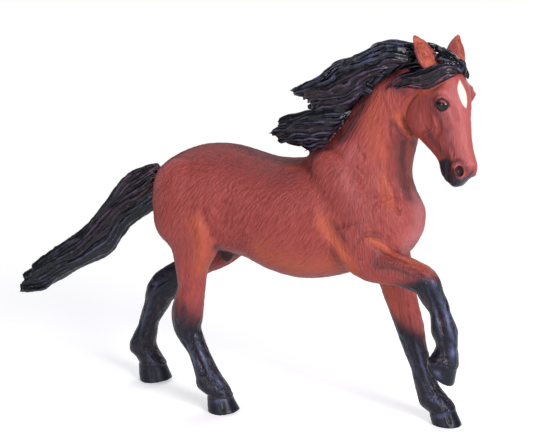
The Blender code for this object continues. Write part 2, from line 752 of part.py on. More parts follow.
def leg_regions(gap, collection):
    """One closed region for each leg, grown by a gap where it is the body that is cut."""
    label = "cut" if gap else "keep"
    reach = CUTTER_REACH
    left_middle = leg_middle(LEFT_FORELEG_SHARES, LEFT_FORE_TOP_SHARE)
    left_back = left_middle.x - LEFT_FORE_BACK_SHARE * ELBOW_DEPTH - gap
    left_inner = LEFT_FORE_INNER_SHARE * BARREL_WIDTH - gap
    left_top = LEFT_FORE_TOP_SHARE * WITHERS_HEIGHT + gap
    corner, pitch = forearm_parting()
    right_inner = -RIGHT_FORE_INNER_SHARE * BARREL_WIDTH + gap
    lower_back = RIGHT_FORE_LOWER_SHARE[0] * BODY_LENGTH - gap
    lower_inner = -RIGHT_FORE_LOWER_SHARE[1] * BARREL_WIDTH + gap
    lower_top = RIGHT_FORE_LOWER_SHARE[2] * WITHERS_HEIGHT + gap
    regions = {
        "right_hind_leg": hind_region(f"right_hind_{label}", -1, gap, collection),
        "left_hind_leg": hind_region(f"left_hind_{label}", 1, gap, collection),
        "left_foreleg": box_between(
            f"left_fore_{label}", (left_back, left_inner, -reach), (reach, reach, left_top), collection
        ),
        "right_foreleg": box_between(
            f"right_fore_{label}",
            (corner.x - gap, -reach, corner.z - reach),
            (corner.x + reach, right_inner, corner.z + gap),
            collection,
            corner,
            Matrix.Rotation(pitch, 3, "Y"),
        ),
    }
    lower = box_between(
        f"right_fore_lower_{label}", (lower_back, -reach, -reach), (reach, lower_inner, lower_top), collection
    )
    boolean(regions["right_foreleg"], lower, "UNION")
    return regions


def head_region(gap, collection):
    label = "cut" if gap else "keep"
    hinge = place(HEAD_PARTING_SHARE)
    hinge.y = sway(hinge.z)
    half = CUTTER_REACH / 2
    turn = Matrix.Rotation(HEAD_PARTING_YAW, 3, "Z") @ Matrix.Rotation(HEAD_PARTING_PITCH, 3, "Y")
    floor = POLL_SHARE[1] * WITHERS_HEIGHT - HEAD_FLOOR_SHARE * HEAD_LENGTH - hinge.z
    low = hinge + Vector((-gap, -half, floor - gap))
    high = hinge + Vector((CUTTER_REACH, half, half))
    return box_between(f"head_{label}", low, high, collection, hinge, turn)


def leg_middle(shares, height_share):
    """The point of a leg's middle line at a height."""
    for above, below in zip(shares, shares[1:]):
        if below[2] <= height_share <= above[2]:
            t = (above[2] - height_share) / (above[2] - below[2])
            return place(above).lerp(place(below), t)
    return place(shares[0])


def spigot_ends():
    """Where each plugged-in moulding's spigot leaves its parting face, and which way it points."""
    corner, pitch = forearm_parting()
    forearm = Vector((math.cos(pitch), 0, -math.sin(pitch)))
    down = Vector((forearm.z, 0, -forearm.x))
    right_fore = corner + down * ELBOW_DEPTH * RIGHT_FORE_SPIGOT_SHARE
    right_fore.y = RIGHT_FORELEG_SHARES[2][1] * BARREL_WIDTH
    left_fore = leg_middle(LEFT_FORELEG_SHARES, LEFT_FORE_TOP_SHARE)
    right_hind = leg_middle(RIGHT_HIND_LEG_SHARES, HIND_PARTING_HEIGHT_SHARE)
    left_hind = leg_middle(LEFT_HIND_LEG_SHARES, HIND_PARTING_HEIGHT_SHARE)
    head_face = place(HEAD_PARTING_SHARE)
    head_face.y = sway(head_face.z)
    into_neck = Vector((-1, 0, 0))
    into_neck.rotate(Matrix.Rotation(HEAD_PARTING_YAW, 3, "Z") @ Matrix.Rotation(HEAD_PARTING_PITCH, 3, "Y"))
    up = Vector((0, 0, 1))
    return {
        "right_foreleg": (right_fore, -forearm, SPIGOT_RADIUS),
        "left_foreleg": (left_fore, up, SPIGOT_RADIUS),
        "right_hind_leg": (right_hind, up, SPIGOT_RADIUS),
        "left_hind_leg": (left_hind, up, SPIGOT_RADIUS),
        "head": (head_face, into_neck, HEAD_SPIGOT_RADIUS),
        "tail": (place(TAIL_ROOT_SHARE), Vector((1, 0, 0)), SPIGOT_RADIUS),
    }


def add_spigot(obj, name, tools):
    face, direction, radius = spigot_ends()[name]
    spigot = rod(
        f"{name}_spigot", face - direction * SPIGOT_ROOT, face + direction * SPIGOT_REACH, radius, tools
    )
    boolean(obj, spigot, "UNION")


def cut_sockets(half, label, tools):
    for name, (face, direction, radius) in spigot_ends().items():
        if label not in name and name not in ("head", "tail"):
            continue
        start = face - direction * SPIGOT_ROOT
        end = face + direction * (SPIGOT_REACH + FIT_GAP)
        boolean(half, rod(f"{label}_{name}_socket", start, end, radius + FIT_GAP, tools), "DIFFERENCE")
    for index, (start, end) in enumerate(mane_peg_ends()):
        beyond = end + (end - start).normalized() * FIT_GAP
        socket = rod(f"{label}_mane_socket_{index}", start, beyond, HAIR_PEG_RADIUS + FIT_GAP, tools)
        boolean(half, socket, "DIFFERENCE")


def mane_peg_ends():
    """The mane's pegs run from inside the hair, through the crest, into the neck."""
    ends = []
    for along, up in MANE_PEG_SHARES:
        crest = place((along, 0, up))
        crest.y = sway(crest.z)
        into_neck = Vector((math.cos(MANE_PEG_SLOPE), 0, math.sin(MANE_PEG_SLOPE)))
        ends.append((crest - into_neck * HAIR_PEG_REACH, crest + into_neck * HAIR_PEG_REACH))
    return ends


def pin_ends(reach, root):
    ends = []
    for along, up in PIN_SHARES:
        middle = place((along, 0, up))
        middle.y = sway(middle.z)
        ends.append((middle - Vector((0, root, 0)), middle + Vector((0, reach, 0))))
    return ends


def body_half(side, clay, cavity, regions, head_cut, parts, tools, finish):
    label = "right" if side < 0 else "left"
    half = as_object(f"body_{label}_half", clay.copy(), parts)
    half.data.materials.append(finish)
    boolean(half, side_region(f"{label}_side", side, tools), "INTERSECT")
    for name, region in regions.items():
        if label in name:
            boolean(half, region, "DIFFERENCE")
    boolean(half, head_cut, "DIFFERENCE")
    boolean(half, cavity, "DIFFERENCE")
    cut_sockets(half, label, tools)
    if side < 0:
        for index, (root, tip) in enumerate(pin_ends(PIN_REACH, PIN_ROOT)):
            boolean(half, rod(f"locating_pin_{index}", root, tip, PIN_RADIUS, tools), "UNION")
    else:
        for index, (root, tip) in enumerate(pin_ends(PIN_REACH + FIT_GAP, PIN_ROOT)):
            boolean(half, rod(f"pin_hole_{index}", root, tip, PIN_RADIUS + FIT_GAP, tools), "DIFFERENCE")
    return half


def leg(name, clay, region, floor, parts, tools, finish):
    piece = as_object(name, clay.copy(), parts)
    piece.data.materials.append(finish)
    boolean(piece, region, "INTERSECT")
    boolean(piece, floor, "DIFFERENCE")
    add_spigot(piece, name, tools)
    return piece


def grown(name, mesh, tools):
    """A copy of a skin moved out by the fit gap, for cutting the moulding that lies over it."""
    obj = as_object(name, mesh.copy(), tools)
    grow = obj.modifiers.new("grow", "DISPLACE")
    grow.mid_level = 0.0
    grow.strength = FIT_GAP * GROWTH_MARGIN
    moved = evaluated(obj)
    bpy.data.objects.remove(obj)
    return hide_as_tool(as_object(name, moved, tools))


def stand_on_origin(parts, tools):
    """Moves the figure so that the origin lies under the middle of its box, on the floor."""
    bpy.context.view_layer.update()
    graph = bpy.context.evaluated_depsgraph_get()
    corners = []
    for obj in parts.objects:
        shown = obj.evaluated_get(graph)
        corners.extend(shown.matrix_world @ Vector(corner) for corner in shown.bound_box)
    low = Vector(min(corner[axis] for corner in corners) for axis in range(3))
    high = Vector(max(corner[axis] for corner in corners) for axis in range(3))
    shift = Vector((-(low.x + high.x) / 2, -(low.y + high.y) / 2, 0))
    for obj in [*parts.objects, *tools.objects]:
        obj.location = shift


def build():
    clear_scene()
    parts = new_collection("toy_horse")
    tools = new_collection("cutters")
    bay = painted("bay_paint", BAY, 0.42)
    points = painted("black_point_paint", BLACK_POINTS, 0.40)
    hair = painted("hair_paint", HAIR_BLACK, 0.42)

    clay = clay_mesh(tools)
    cavity_shape = bmesh.new()
    add_trunk(cavity_shape, BARREL_WALL, CAVITY_RANGE_SHARE)
    cavity_mesh = bpy.data.meshes.new("barrel_hollow")
    cavity_shape.to_mesh(cavity_mesh)
    cavity_shape.free()
    cavity = hide_as_tool(as_object("barrel_hollow", cavity_mesh, tools))
    keep = leg_regions(0.0, tools)
    cut = leg_regions(PARTING_GAP, tools)
    head_keep = head_region(0.0, tools)
    head_cut = head_region(PARTING_GAP, tools)
    reach = CUTTER_REACH
    floor = box_between("floor", (-2 * reach, -reach, -reach), (2 * reach, reach, 0), tools)

    for side in (-1, 1):
        body_half(side, clay, cavity, cut, head_cut, parts, tools, bay)
    for name, region in keep.items():
        leg(name, clay, region, floor, parts, tools, points)
    head = as_object("head", clay.copy(), parts)
    head.data.materials.append(bay)
    boolean(head, head_keep, "INTERSECT")
    add_spigot(head, "head", tools)

    skin = grown("grown_clay", clay, tools)
    fringe = forelock_mesh(tools)
    mane = as_object("mane", mane_mesh(tools), parts)
    mane.data.materials.append(hair)
    boolean(mane, skin, "DIFFERENCE", folded=True)
    boolean(mane, grown("grown_forelock", fringe, tools), "DIFFERENCE", folded=True)
    for index, (start, end) in enumerate(mane_peg_ends()):
        boolean(mane, rod(f"mane_peg_{index}", start, end, HAIR_PEG_RADIUS, tools), "UNION")
    forelock = as_object("forelock", fringe, parts)
    forelock.data.materials.append(hair)
    boolean(forelock, skin, "DIFFERENCE", folded=True)
    tail = as_object("tail", tail_mesh(tools), parts)
    tail.data.materials.append(hair)
    boolean(tail, skin, "DIFFERENCE", folded=True)
    add_spigot(tail, "tail", tools)
    stand_on_origin(parts, tools)


build()
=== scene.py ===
"""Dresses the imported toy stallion: modelled clay, carved hair, painted coat, soft light and camera.

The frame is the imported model's: +X to the horse's front, +Y to its left, +Z up, in metres. The body is
modelled again as one lump with finer forms than the solids have, carved, painted by vertex masks and
parted where the solids part. Carved lines that the photograph shows are placed by its pixels.
"""

import math

import bmesh
import bpy
import numpy as np
from mathutils import Matrix, Vector
from mathutils.bvhtree import BVHTree
from mathutils.kdtree import KDTree


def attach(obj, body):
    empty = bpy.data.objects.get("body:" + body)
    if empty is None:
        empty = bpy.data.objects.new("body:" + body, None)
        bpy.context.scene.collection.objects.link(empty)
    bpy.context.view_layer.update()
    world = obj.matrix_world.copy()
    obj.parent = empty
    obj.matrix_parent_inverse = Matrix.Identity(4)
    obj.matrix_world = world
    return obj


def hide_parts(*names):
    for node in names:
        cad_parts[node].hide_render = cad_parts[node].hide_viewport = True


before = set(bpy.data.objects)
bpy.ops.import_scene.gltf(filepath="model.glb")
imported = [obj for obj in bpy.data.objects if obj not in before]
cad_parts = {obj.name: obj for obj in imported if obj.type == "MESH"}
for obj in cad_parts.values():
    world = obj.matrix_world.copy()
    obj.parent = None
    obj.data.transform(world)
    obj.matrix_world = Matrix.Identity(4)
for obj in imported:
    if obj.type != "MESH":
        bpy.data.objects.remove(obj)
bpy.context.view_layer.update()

# Driving sizes, as in the solids
WITHERS_HEIGHT = 0.080
BODY_LENGTH = 0.080
BARREL_WIDTH = 0.031
HEAD_LENGTH = 0.0337
HEAD_YAW = math.radians(-29.5)
HEAD_PITCH = math.radians(15.5)
NECK_SWAY = 0.0065
EAR_LENGTH = 0.0097
EAR_WIDTH = 0.0064
EAR_THICKNESS = 0.0036
FIGURE_SHIFT = Vector((0.0115894, 0.0001032, 0.0))

# Depth of the limbs from front to back
ELBOW_DEPTH = 0.0130
FOREARM_DEPTH = 0.0092
KNEE_DEPTH = 0.0080
FORE_CANNON_DEPTH = 0.0059
THIGH_DEPTH = 0.0235
STIFLE_DEPTH = 0.0158
GASKIN_DEPTH = 0.0104
GASKIN_WAIST_DEPTH = 0.0084
HOCK_DEPTH = 0.0101
HIND_CANNON_DEPTH = 0.0058
FETLOCK_DEPTH = 0.0073
PASTERN_DEPTH = 0.0061
CORONET_DEPTH = 0.0078
HOOF_LENGTH = 0.0088

# Hair
MANE_LOCK_WIDTH = 0.0078
MANE_LOCK_THICKNESS = 0.0042
FORELOCK_WIDTH = 0.0060
FORELOCK_THICKNESS = 0.0030
TAIL_WIDTH = 0.0100
TAIL_THICKNESS = 0.0078
LOCK_ROOT_SHARE = 0.80
LOCK_SWELL_SHARE = 0.25
LOCK_TAPER_SHARE = 0.58
TAIL_TAPER_SHARE = 0.20
MANE_STRAND = 0.00052
FORELOCK_STRAND = 0.00046
TAIL_STRAND = 0.00060
THINNEST_STRAND = 0.00024
MANE_CORE_START_SHARE = 0.20
MANE_CORE_INWARD_SHARE = 0.55

# Modelling grain
ROUGH_VOXEL = 0.00050
FINE_VOXEL = 0.00029
HAIR_VOXEL = 0.00026
MANE_VOXEL = 0.00031
LOFT_SIDES = 36
LOFT_STEPS = 3
SPHERE_SIDES = 32
LOCK_STEPS = 6
CARVE_STEPS = 4
CUTTER_REACH = 0.100
SLIVER_AREA = 2e-9
TINY = 1e-9
LEAST_WEIGHT = 1e-6
STROKE_UNIT = 0.0001

# How bright the floor glows to the camera alone
FLOOR_GLOW = 0.38

# The photograph's frame and where it was taken from
PICTURE_WIDTH = 535
PICTURE_HEIGHT = 447
FOCAL_PIXELS = 1525.4
SENSOR_WIDTH = 36.0
CAMERA_AZIMUTH = math.radians(25)
CAMERA_ELEVATION = math.radians(12)
CAMERA_DISTANCE = 0.45
CAMERA_TARGET = Vector((0.0115894, 0.0001032, 0.057))

# Trunk, from buttock to breast: place along BODY_LENGTH, top and bottom as shares of WITHERS_HEIGHT,
# half width as a share of BARREL_WIDTH
TRUNK_SHARES = (
    (-0.448, 0.875, 0.785, 0.12), (-0.415, 0.914, 0.7, 0.29), (-0.35, 0.957, 0.64, 0.41),
    (-0.26, 0.992, 0.61, 0.475), (-0.15, 0.998, 0.6, 0.485), (-0.06, 0.982, 0.585, 0.47),
    (0.04, 0.962, 0.548, 0.5), (0.15, 0.97, 0.53, 0.515), (0.26, 0.985, 0.542, 0.49),
    (0.375, 0.97, 0.58, 0.45), (0.475, 0.94, 0.62, 0.41), (0.55, 0.885, 0.655, 0.33),
    (0.59, 0.83, 0.72, 0.19),
)
TRUNK_SQUARENESS = 2.25
NECK_SQUARENESS = 2.1
LEG_SQUARENESS = 2.1

# Neck: throat point and crest point as (BODY_LENGTH, WITHERS_HEIGHT) shares, half width of BARREL_WIDTH
NECK_SHARES = (
    (0.565, 0.76, 0.075, 0.89, 0.4), (0.578, 0.845, 0.17, 0.985, 0.37), (0.553, 0.925, 0.25, 1.055, 0.325),
    (0.563, 1.005, 0.32, 1.14, 0.28), (0.582, 1.075, 0.395, 1.225, 0.24), (0.605, 1.14, 0.48, 1.29, 0.205),
    (0.65, 1.19, 0.575, 1.33, 0.185),
)
SWAY_START_SHARE = 0.94
POLL_SHARE = (0.682, 1.346)

# Head, from poll to lips, as shares of HEAD_LENGTH: place down the face, brow or nose line in front of
# the axis, jaw line behind it, half width, and how square the section is
HEAD_SHARES = (
    (-0.05, 0.05, 0.12, 0.08, 2.0), (0.04, 0.125, 0.24, 0.14, 2.2), (0.16, 0.185, 0.35, 0.168, 2.5),
    (0.29, 0.211, 0.4, 0.176, 2.6), (0.41, 0.212, 0.444, 0.166, 2.5), (0.53, 0.193, 0.392, 0.136, 2.4),
    (0.65, 0.184, 0.279, 0.112, 2.3), (0.77, 0.189, 0.183, 0.1, 2.2), (0.84, 0.204, 0.177, 0.1, 2.2),
    (0.9, 0.186, 0.167, 0.094, 2.1), (0.955, 0.104, 0.125, 0.08, 2.1), (1.01, 0.0, 0.06, 0.045, 2.0),
)
EAR_SEAT_SHARE = (0.030, 0.030, 0.118)
EAR_SPLAY = math.radians(24)
FAR_EAR_SPLAY = math.radians(27)
EAR_TILT = math.radians(8)
FAR_EAR_SHARE = 0.94
EAR_SHARES = ((-0.25, 0.40), (0.0, 0.44), (0.30, 0.50), (0.60, 0.40), (0.85, 0.22), (1.0, 0.07))

# Legs, from inside the trunk down to the sole: (BODY_LENGTH, BARREL_WIDTH, WITHERS_HEIGHT) shares
RIGHT_FORELEG_SHARES = (
    (0.385, -0.32, 0.76), (0.412, -0.335, 0.69), (0.465, -0.34, 0.638), (0.56, -0.325, 0.624),
    (0.625, -0.308, 0.603), (0.66, -0.3, 0.584), (0.68, -0.29, 0.538), (0.7, -0.275, 0.475),
    (0.711, -0.255, 0.395), (0.72, -0.248, 0.355), (0.718, -0.24, 0.312), (0.723, -0.235, 0.266),
    (0.727, -0.232, 0.228),
)
LEFT_FORELEG_SHARES = (
    (0.385, 0.305, 0.75), (0.425, 0.318, 0.63), (0.455, 0.312, 0.545), (0.49, 0.305, 0.44),
    (0.512, 0.3, 0.38), (0.527, 0.295, 0.335), (0.545, 0.29, 0.275), (0.572, 0.29, 0.19),
    (0.606, 0.29, 0.118), (0.638, 0.29, 0.083), (0.662, 0.29, 0.052), (0.682, 0.29, 0.01),
    (0.698, 0.29, -0.03),
)
RIGHT_HIND_LEG_SHARES = (
    (-0.275, -0.27, 0.825), (-0.253, -0.315, 0.712), (-0.241, -0.33, 0.63), (-0.252, -0.315, 0.555),
    (-0.258, -0.298, 0.462), (-0.28, -0.284, 0.368), (-0.278, -0.28, 0.295), (-0.246, -0.277, 0.218),
    (-0.212, -0.274, 0.15), (-0.184, -0.272, 0.106), (-0.156, -0.271, 0.076), (-0.14, -0.27, 0.05),
    (-0.13, -0.268, 0.008), (-0.122, -0.266, -0.03),
)
LEFT_HIND_LEG_SHARES = (
    (-0.25, 0.27, 0.825), (-0.235, 0.315, 0.712), (-0.215, 0.33, 0.63), (-0.275, 0.328, 0.55),
    (-0.37, 0.324, 0.49), (-0.505, 0.322, 0.392), (-0.542, 0.322, 0.318), (-0.572, 0.322, 0.248),
    (-0.596, 0.322, 0.19), (-0.608, 0.322, 0.14), (-0.584, 0.322, 0.104), (-0.566, 0.322, 0.068),
    (-0.548, 0.322, 0.015), (-0.538, 0.322, -0.03),
)
ARMPIT_FLARE_SHARES = (1.3, 1.1)
FORELEG_WIDTH_SHARES = (0.60, 0.66, 0.78, 0.92, 0.92, 0.96, 0.96, 0.96, 0.96, 0.96, 1.0, 1.0, 1.0)
HIND_LEG_WIDTH_SHARES = (0.52, 0.52, 0.61, 0.90, 0.90, 0.77, 0.90, 0.96, 0.96, 0.96, 0.96, 1.0, 1.0, 1.0)
FORELEG_DEPTHS = (
    ELBOW_DEPTH * ARMPIT_FLARE_SHARES[0], ELBOW_DEPTH * ARMPIT_FLARE_SHARES[1],
    (ELBOW_DEPTH + FOREARM_DEPTH) / 2, FOREARM_DEPTH, (FOREARM_DEPTH + KNEE_DEPTH) / 2, KNEE_DEPTH,
    (KNEE_DEPTH + FORE_CANNON_DEPTH) / 2, FORE_CANNON_DEPTH, FETLOCK_DEPTH, PASTERN_DEPTH, CORONET_DEPTH,
    (CORONET_DEPTH + HOOF_LENGTH) / 2, HOOF_LENGTH,
)
HIND_LEG_DEPTHS = (
    THIGH_DEPTH, THIGH_DEPTH, STIFLE_DEPTH, GASKIN_DEPTH, GASKIN_WAIST_DEPTH, HOCK_DEPTH,
    (HOCK_DEPTH + HIND_CANNON_DEPTH) / 2, HIND_CANNON_DEPTH, HIND_CANNON_DEPTH, FETLOCK_DEPTH, PASTERN_DEPTH,
    CORONET_DEPTH, (CORONET_DEPTH + HOOF_LENGTH) / 2, HOOF_LENGTH,
)

# Each leg: its line, depths and widths, then where along the line the black paint starts and is full,
# and how much earlier it starts at the back
LEGS = {
    "right_foreleg": (RIGHT_FORELEG_SHARES, FORELEG_DEPTHS, FORELEG_WIDTH_SHARES, (3.3, 4.9, 1.0)),
    "left_foreleg": (LEFT_FORELEG_SHARES, FORELEG_DEPTHS, FORELEG_WIDTH_SHARES, (3.2, 5.6, 1.1)),
    "right_hind_leg": (RIGHT_HIND_LEG_SHARES, HIND_LEG_DEPTHS, HIND_LEG_WIDTH_SHARES, (3.4, 6.0, 0.2)),
    "left_hind_leg": (LEFT_HIND_LEG_SHARES, HIND_LEG_DEPTHS, HIND_LEG_WIDTH_SHARES, (3.5, 4.6, 0.0)),
}

# Below the cannon each leg follows the photograph: pixels of its back and front at each level down to
# the coronet, then of the sole. They take over after so many points of the leg's table.
FOOT_START = 6
FOOT_PIXELS = {"right_foreleg": (
    (430.5, 313, 450.5, 313), (431.2, 323, 454.2, 322), (431.5, 332.5, 457.2, 332),
    (436.3, 342.5, 457.6, 343), (435.0, 349.5, 458.0, 354), (429.2, 357, 458.6, 365),
    (428.5, 367, 453.4, 386),
), "left_foreleg": (
    (411.5, 367, 432.0, 367), (414.5, 381, 436.0, 380.5), (418.0, 395, 441.5, 390.5),
    (421.5, 405, 446.5, 396.5), (426.8, 408, 450.5, 401), (430.5, 412, 454.0, 405.5),
    (435.0, 427, 461.5, 426),
), "right_hind_leg": (
    (190.0, 353, 209.0, 353.5), (194.0, 365, 214.4, 365), (197.0, 376, 220.5, 376),
    (198.3, 384.5, 226.0, 384.8), (203.0, 389.3, 229.0, 389), (209.0, 392.8, 231.5, 394.5),
    (210.5, 412, 238.5, 411),
), "left_hind_leg": (
    (139.5, 322.5, 158.0, 323), (135.0, 332, 156.3, 333), (131.3, 341, 155.0, 342),
    (131.8, 348.8, 156.0, 348), (137.5, 354.5, 159.5, 354), (141.0, 360.5, 164.8, 361.5),
    (142.5, 379.3, 170.5, 379),
)}
FOOT_WIDTH_SHARES = (0.92, 0.90, 0.90, 0.90, 0.92, 0.94, 0.97)

# A hoof's rings: place from coronet to sole, size, and how far the heel stands back
HOOF_RING_SHARES = (
    (-0.35, 0.82, 0.0), (-0.12, 0.93, 0.0), (0.03, 0.99, 0.01), (0.12, 1.0, 0.03), (0.19, 0.97, 0.05),
    (0.26, 0.94, 0.06), (0.55, 0.96, 0.06), (0.85, 0.99, 0.02), (1.0, 0.99, -0.03),
)

# Muscles that stand out of the lofts, mirrored: middle in place shares, half sizes as shares of
# BARREL_WIDTH, and how far the length tips down at the front
MUSCLE_SHARES = (
    ((-0.275, 0.320, 0.790), (0.330, 0.170, 0.440), -15),
    ((-0.220, 0.350, 0.672), (0.205, 0.135, 0.340), 22),
    ((0.370, 0.300, 0.835), (0.560, 0.165, 0.260), 58),
    ((0.425, 0.310, 0.700), (0.290, 0.180, 0.240), 20),
    ((0.515, 0.185, 0.752), (0.160, 0.165, 0.270), 0),
    ((0.360, 0.120, 1.010), (0.620, 0.130, 0.170), -58),
)
SINGLE_MUSCLE_SHARES = (
    ((0.180, 0.0, 0.930), (0.330, 0.120, 0.100), 0),
    ((-0.335, 0.325, 0.605), (0.185, 0.130, 0.270), 0),
    ((-0.158, 0.0, 0.618), (0.160, 0.085, 0.115), 0),
    ((-0.168, 0.0, 0.585), (0.080, 0.062, 0.098), 0),
)

# Brow, nostril and cheek swellings on the head, mirrored: middle as (down the face, in front of the
# axis, out to the side), then half sizes the same way, all as shares of HEAD_LENGTH
FACE_SHARES = (
    ((0.285, 0.112, 0.142), (0.082, 0.058, 0.050)),
    ((0.880, 0.090, 0.074), (0.075, 0.055, 0.042)),
    ((0.370, -0.225, 0.115), (0.180, 0.165, 0.075)),
)

# Hair locks: width and thickness as shares of the named lock sizes, then the path's points as
# (BODY_LENGTH, BARREL_WIDTH, WITHERS_HEIGHT) shares in turn
MANE_LOCK_SHARES = (
    (1.05, 1.25, 0.71, -0.02, 1.325, 0.65, -0.04, 1.33, 0.58, -0.04, 1.325, 0.52, -0.03, 1.3),
    (1.15, 2.0, 0.65, -0.01, 1.325, 0.56, -0.01, 1.345, 0.46, 0.0, 1.29, 0.38, 0.0, 1.19, 0.3, 0.0, 1.095,
     0.21, 0.0, 1.015, 0.15, 0.0, 0.99),
    (1.0, 1.3, 0.66, -0.02, 1.345, 0.61, -0.01, 1.365, 0.54, 0.02, 1.37, 0.46, 0.05, 1.346),
    (1.0, 1.1, 0.62, -0.17, 1.325, 0.56, -0.15, 1.368, 0.48, -0.11, 1.368, 0.4, -0.06, 1.335),
    (1.0, 1.0, 0.57, -0.22, 1.32, 0.5, -0.17, 1.358, 0.415, -0.12, 1.332, 0.335, -0.07, 1.278),
    (1.05, 1.0, 0.53, -0.24, 1.27, 0.45, -0.22, 1.31, 0.37, -0.17, 1.282, 0.305, -0.12, 1.238),
    (1.05, 1.0, 0.48, -0.22, 1.21, 0.4, -0.21, 1.245, 0.32, -0.16, 1.24, 0.24, -0.1, 1.218),
    (1.05, 1.0, 0.43, -0.17, 1.262, 0.335, -0.12, 1.268, 0.24, -0.08, 1.24, 0.165, -0.05, 1.22, 0.102,
     -0.03, 1.205),
    (1.0, 1.0, 0.4, -0.17, 1.215, 0.31, -0.17, 1.235, 0.225, -0.12, 1.222, 0.15, -0.07, 1.21),
    (0.95, 1.0, 0.365, -0.18, 1.16, 0.29, -0.17, 1.178, 0.225, -0.13, 1.175, 0.19, -0.1, 1.165),
    (0.95, 1.0, 0.345, -0.19, 1.11, 0.245, -0.17, 1.135, 0.16, -0.12, 1.112, 0.085, -0.08, 1.1, 0.045,
     -0.05, 1.098),
    (1.0, 1.0, 0.32, -0.19, 1.06, 0.23, -0.16, 1.085, 0.145, -0.12, 1.072, 0.07, -0.08, 1.062, 0.018, -0.06,
     1.056),
    (0.85, 1.0, 0.28, -0.17, 1.015, 0.2, -0.14, 1.045, 0.13, -0.1, 1.04, 0.065, -0.07, 1.032),
    (1.2, 1.1, 0.49, 0.02, 1.31, 0.4, 0.1, 1.292, 0.3, 0.12, 1.248, 0.205, 0.08, 1.212),
    (1.2, 1.1, 0.4, 0.08, 1.235, 0.31, 0.16, 1.215, 0.23, 0.14, 1.18, 0.16, 0.09, 1.15),
    (1.2, 1.1, 0.33, 0.1, 1.13, 0.24, 0.16, 1.115, 0.15, 0.13, 1.095, 0.07, 0.08, 1.08),
)

# Forelock: places on the head, as (down the face, in front of the axis, to the right) HEAD_LENGTH shares,
# then width, thickness and the way that the thickness lies
FORELOCK_LOCK_SHARES = (
    (((-0.10, 0.030, 0.00), (-0.04, 0.105, 0.00), (0.04, 0.160, 0.03), (0.09, 0.155, 0.08)),
     1.15, 1.2, (0, 1, 0)),
    (((0.00, 0.135, -0.04), (0.07, 0.165, 0.05), (0.095, 0.120, 0.135), (0.100, 0.010, 0.178),
      (0.090, -0.130, 0.195), (0.090, -0.270, 0.215), (0.140, -0.430, 0.235)), 1.05, 1.0, (0, 1, 1)),
    (((0.00, 0.120, -0.02), (0.06, 0.165, -0.05), (0.13, 0.178, -0.08)), 0.75, 0.9, (0, 1, 0)),
)

TAIL_LOCK_SHARES = (
    (0.7, 1.0, -0.395, 0.0, 0.86, -0.47, 0.02, 0.862, -0.56, 0.05, 0.812, -0.645, 0.07, 0.734, -0.74, 0.08,
     0.63, -0.845, 0.09, 0.55, -0.97, 0.09, 0.474, -1.085, 0.09, 0.398),
    (0.85, 1.1, -0.395, 0.02, 0.815, -0.48, 0.03, 0.812, -0.58, 0.06, 0.755, -0.67, 0.07, 0.662, -0.765,
     0.08, 0.58, -0.88, 0.09, 0.5, -1.01, 0.09, 0.422, -1.13, 0.09, 0.352),
    (0.7, 1.0, -0.405, 0.03, 0.775, -0.49, 0.03, 0.772, -0.59, 0.05, 0.708, -0.662, 0.06, 0.626, -0.76,
     0.07, 0.548, -0.88, 0.08, 0.468, -0.99, 0.08, 0.394, -1.1, 0.08, 0.344),
)

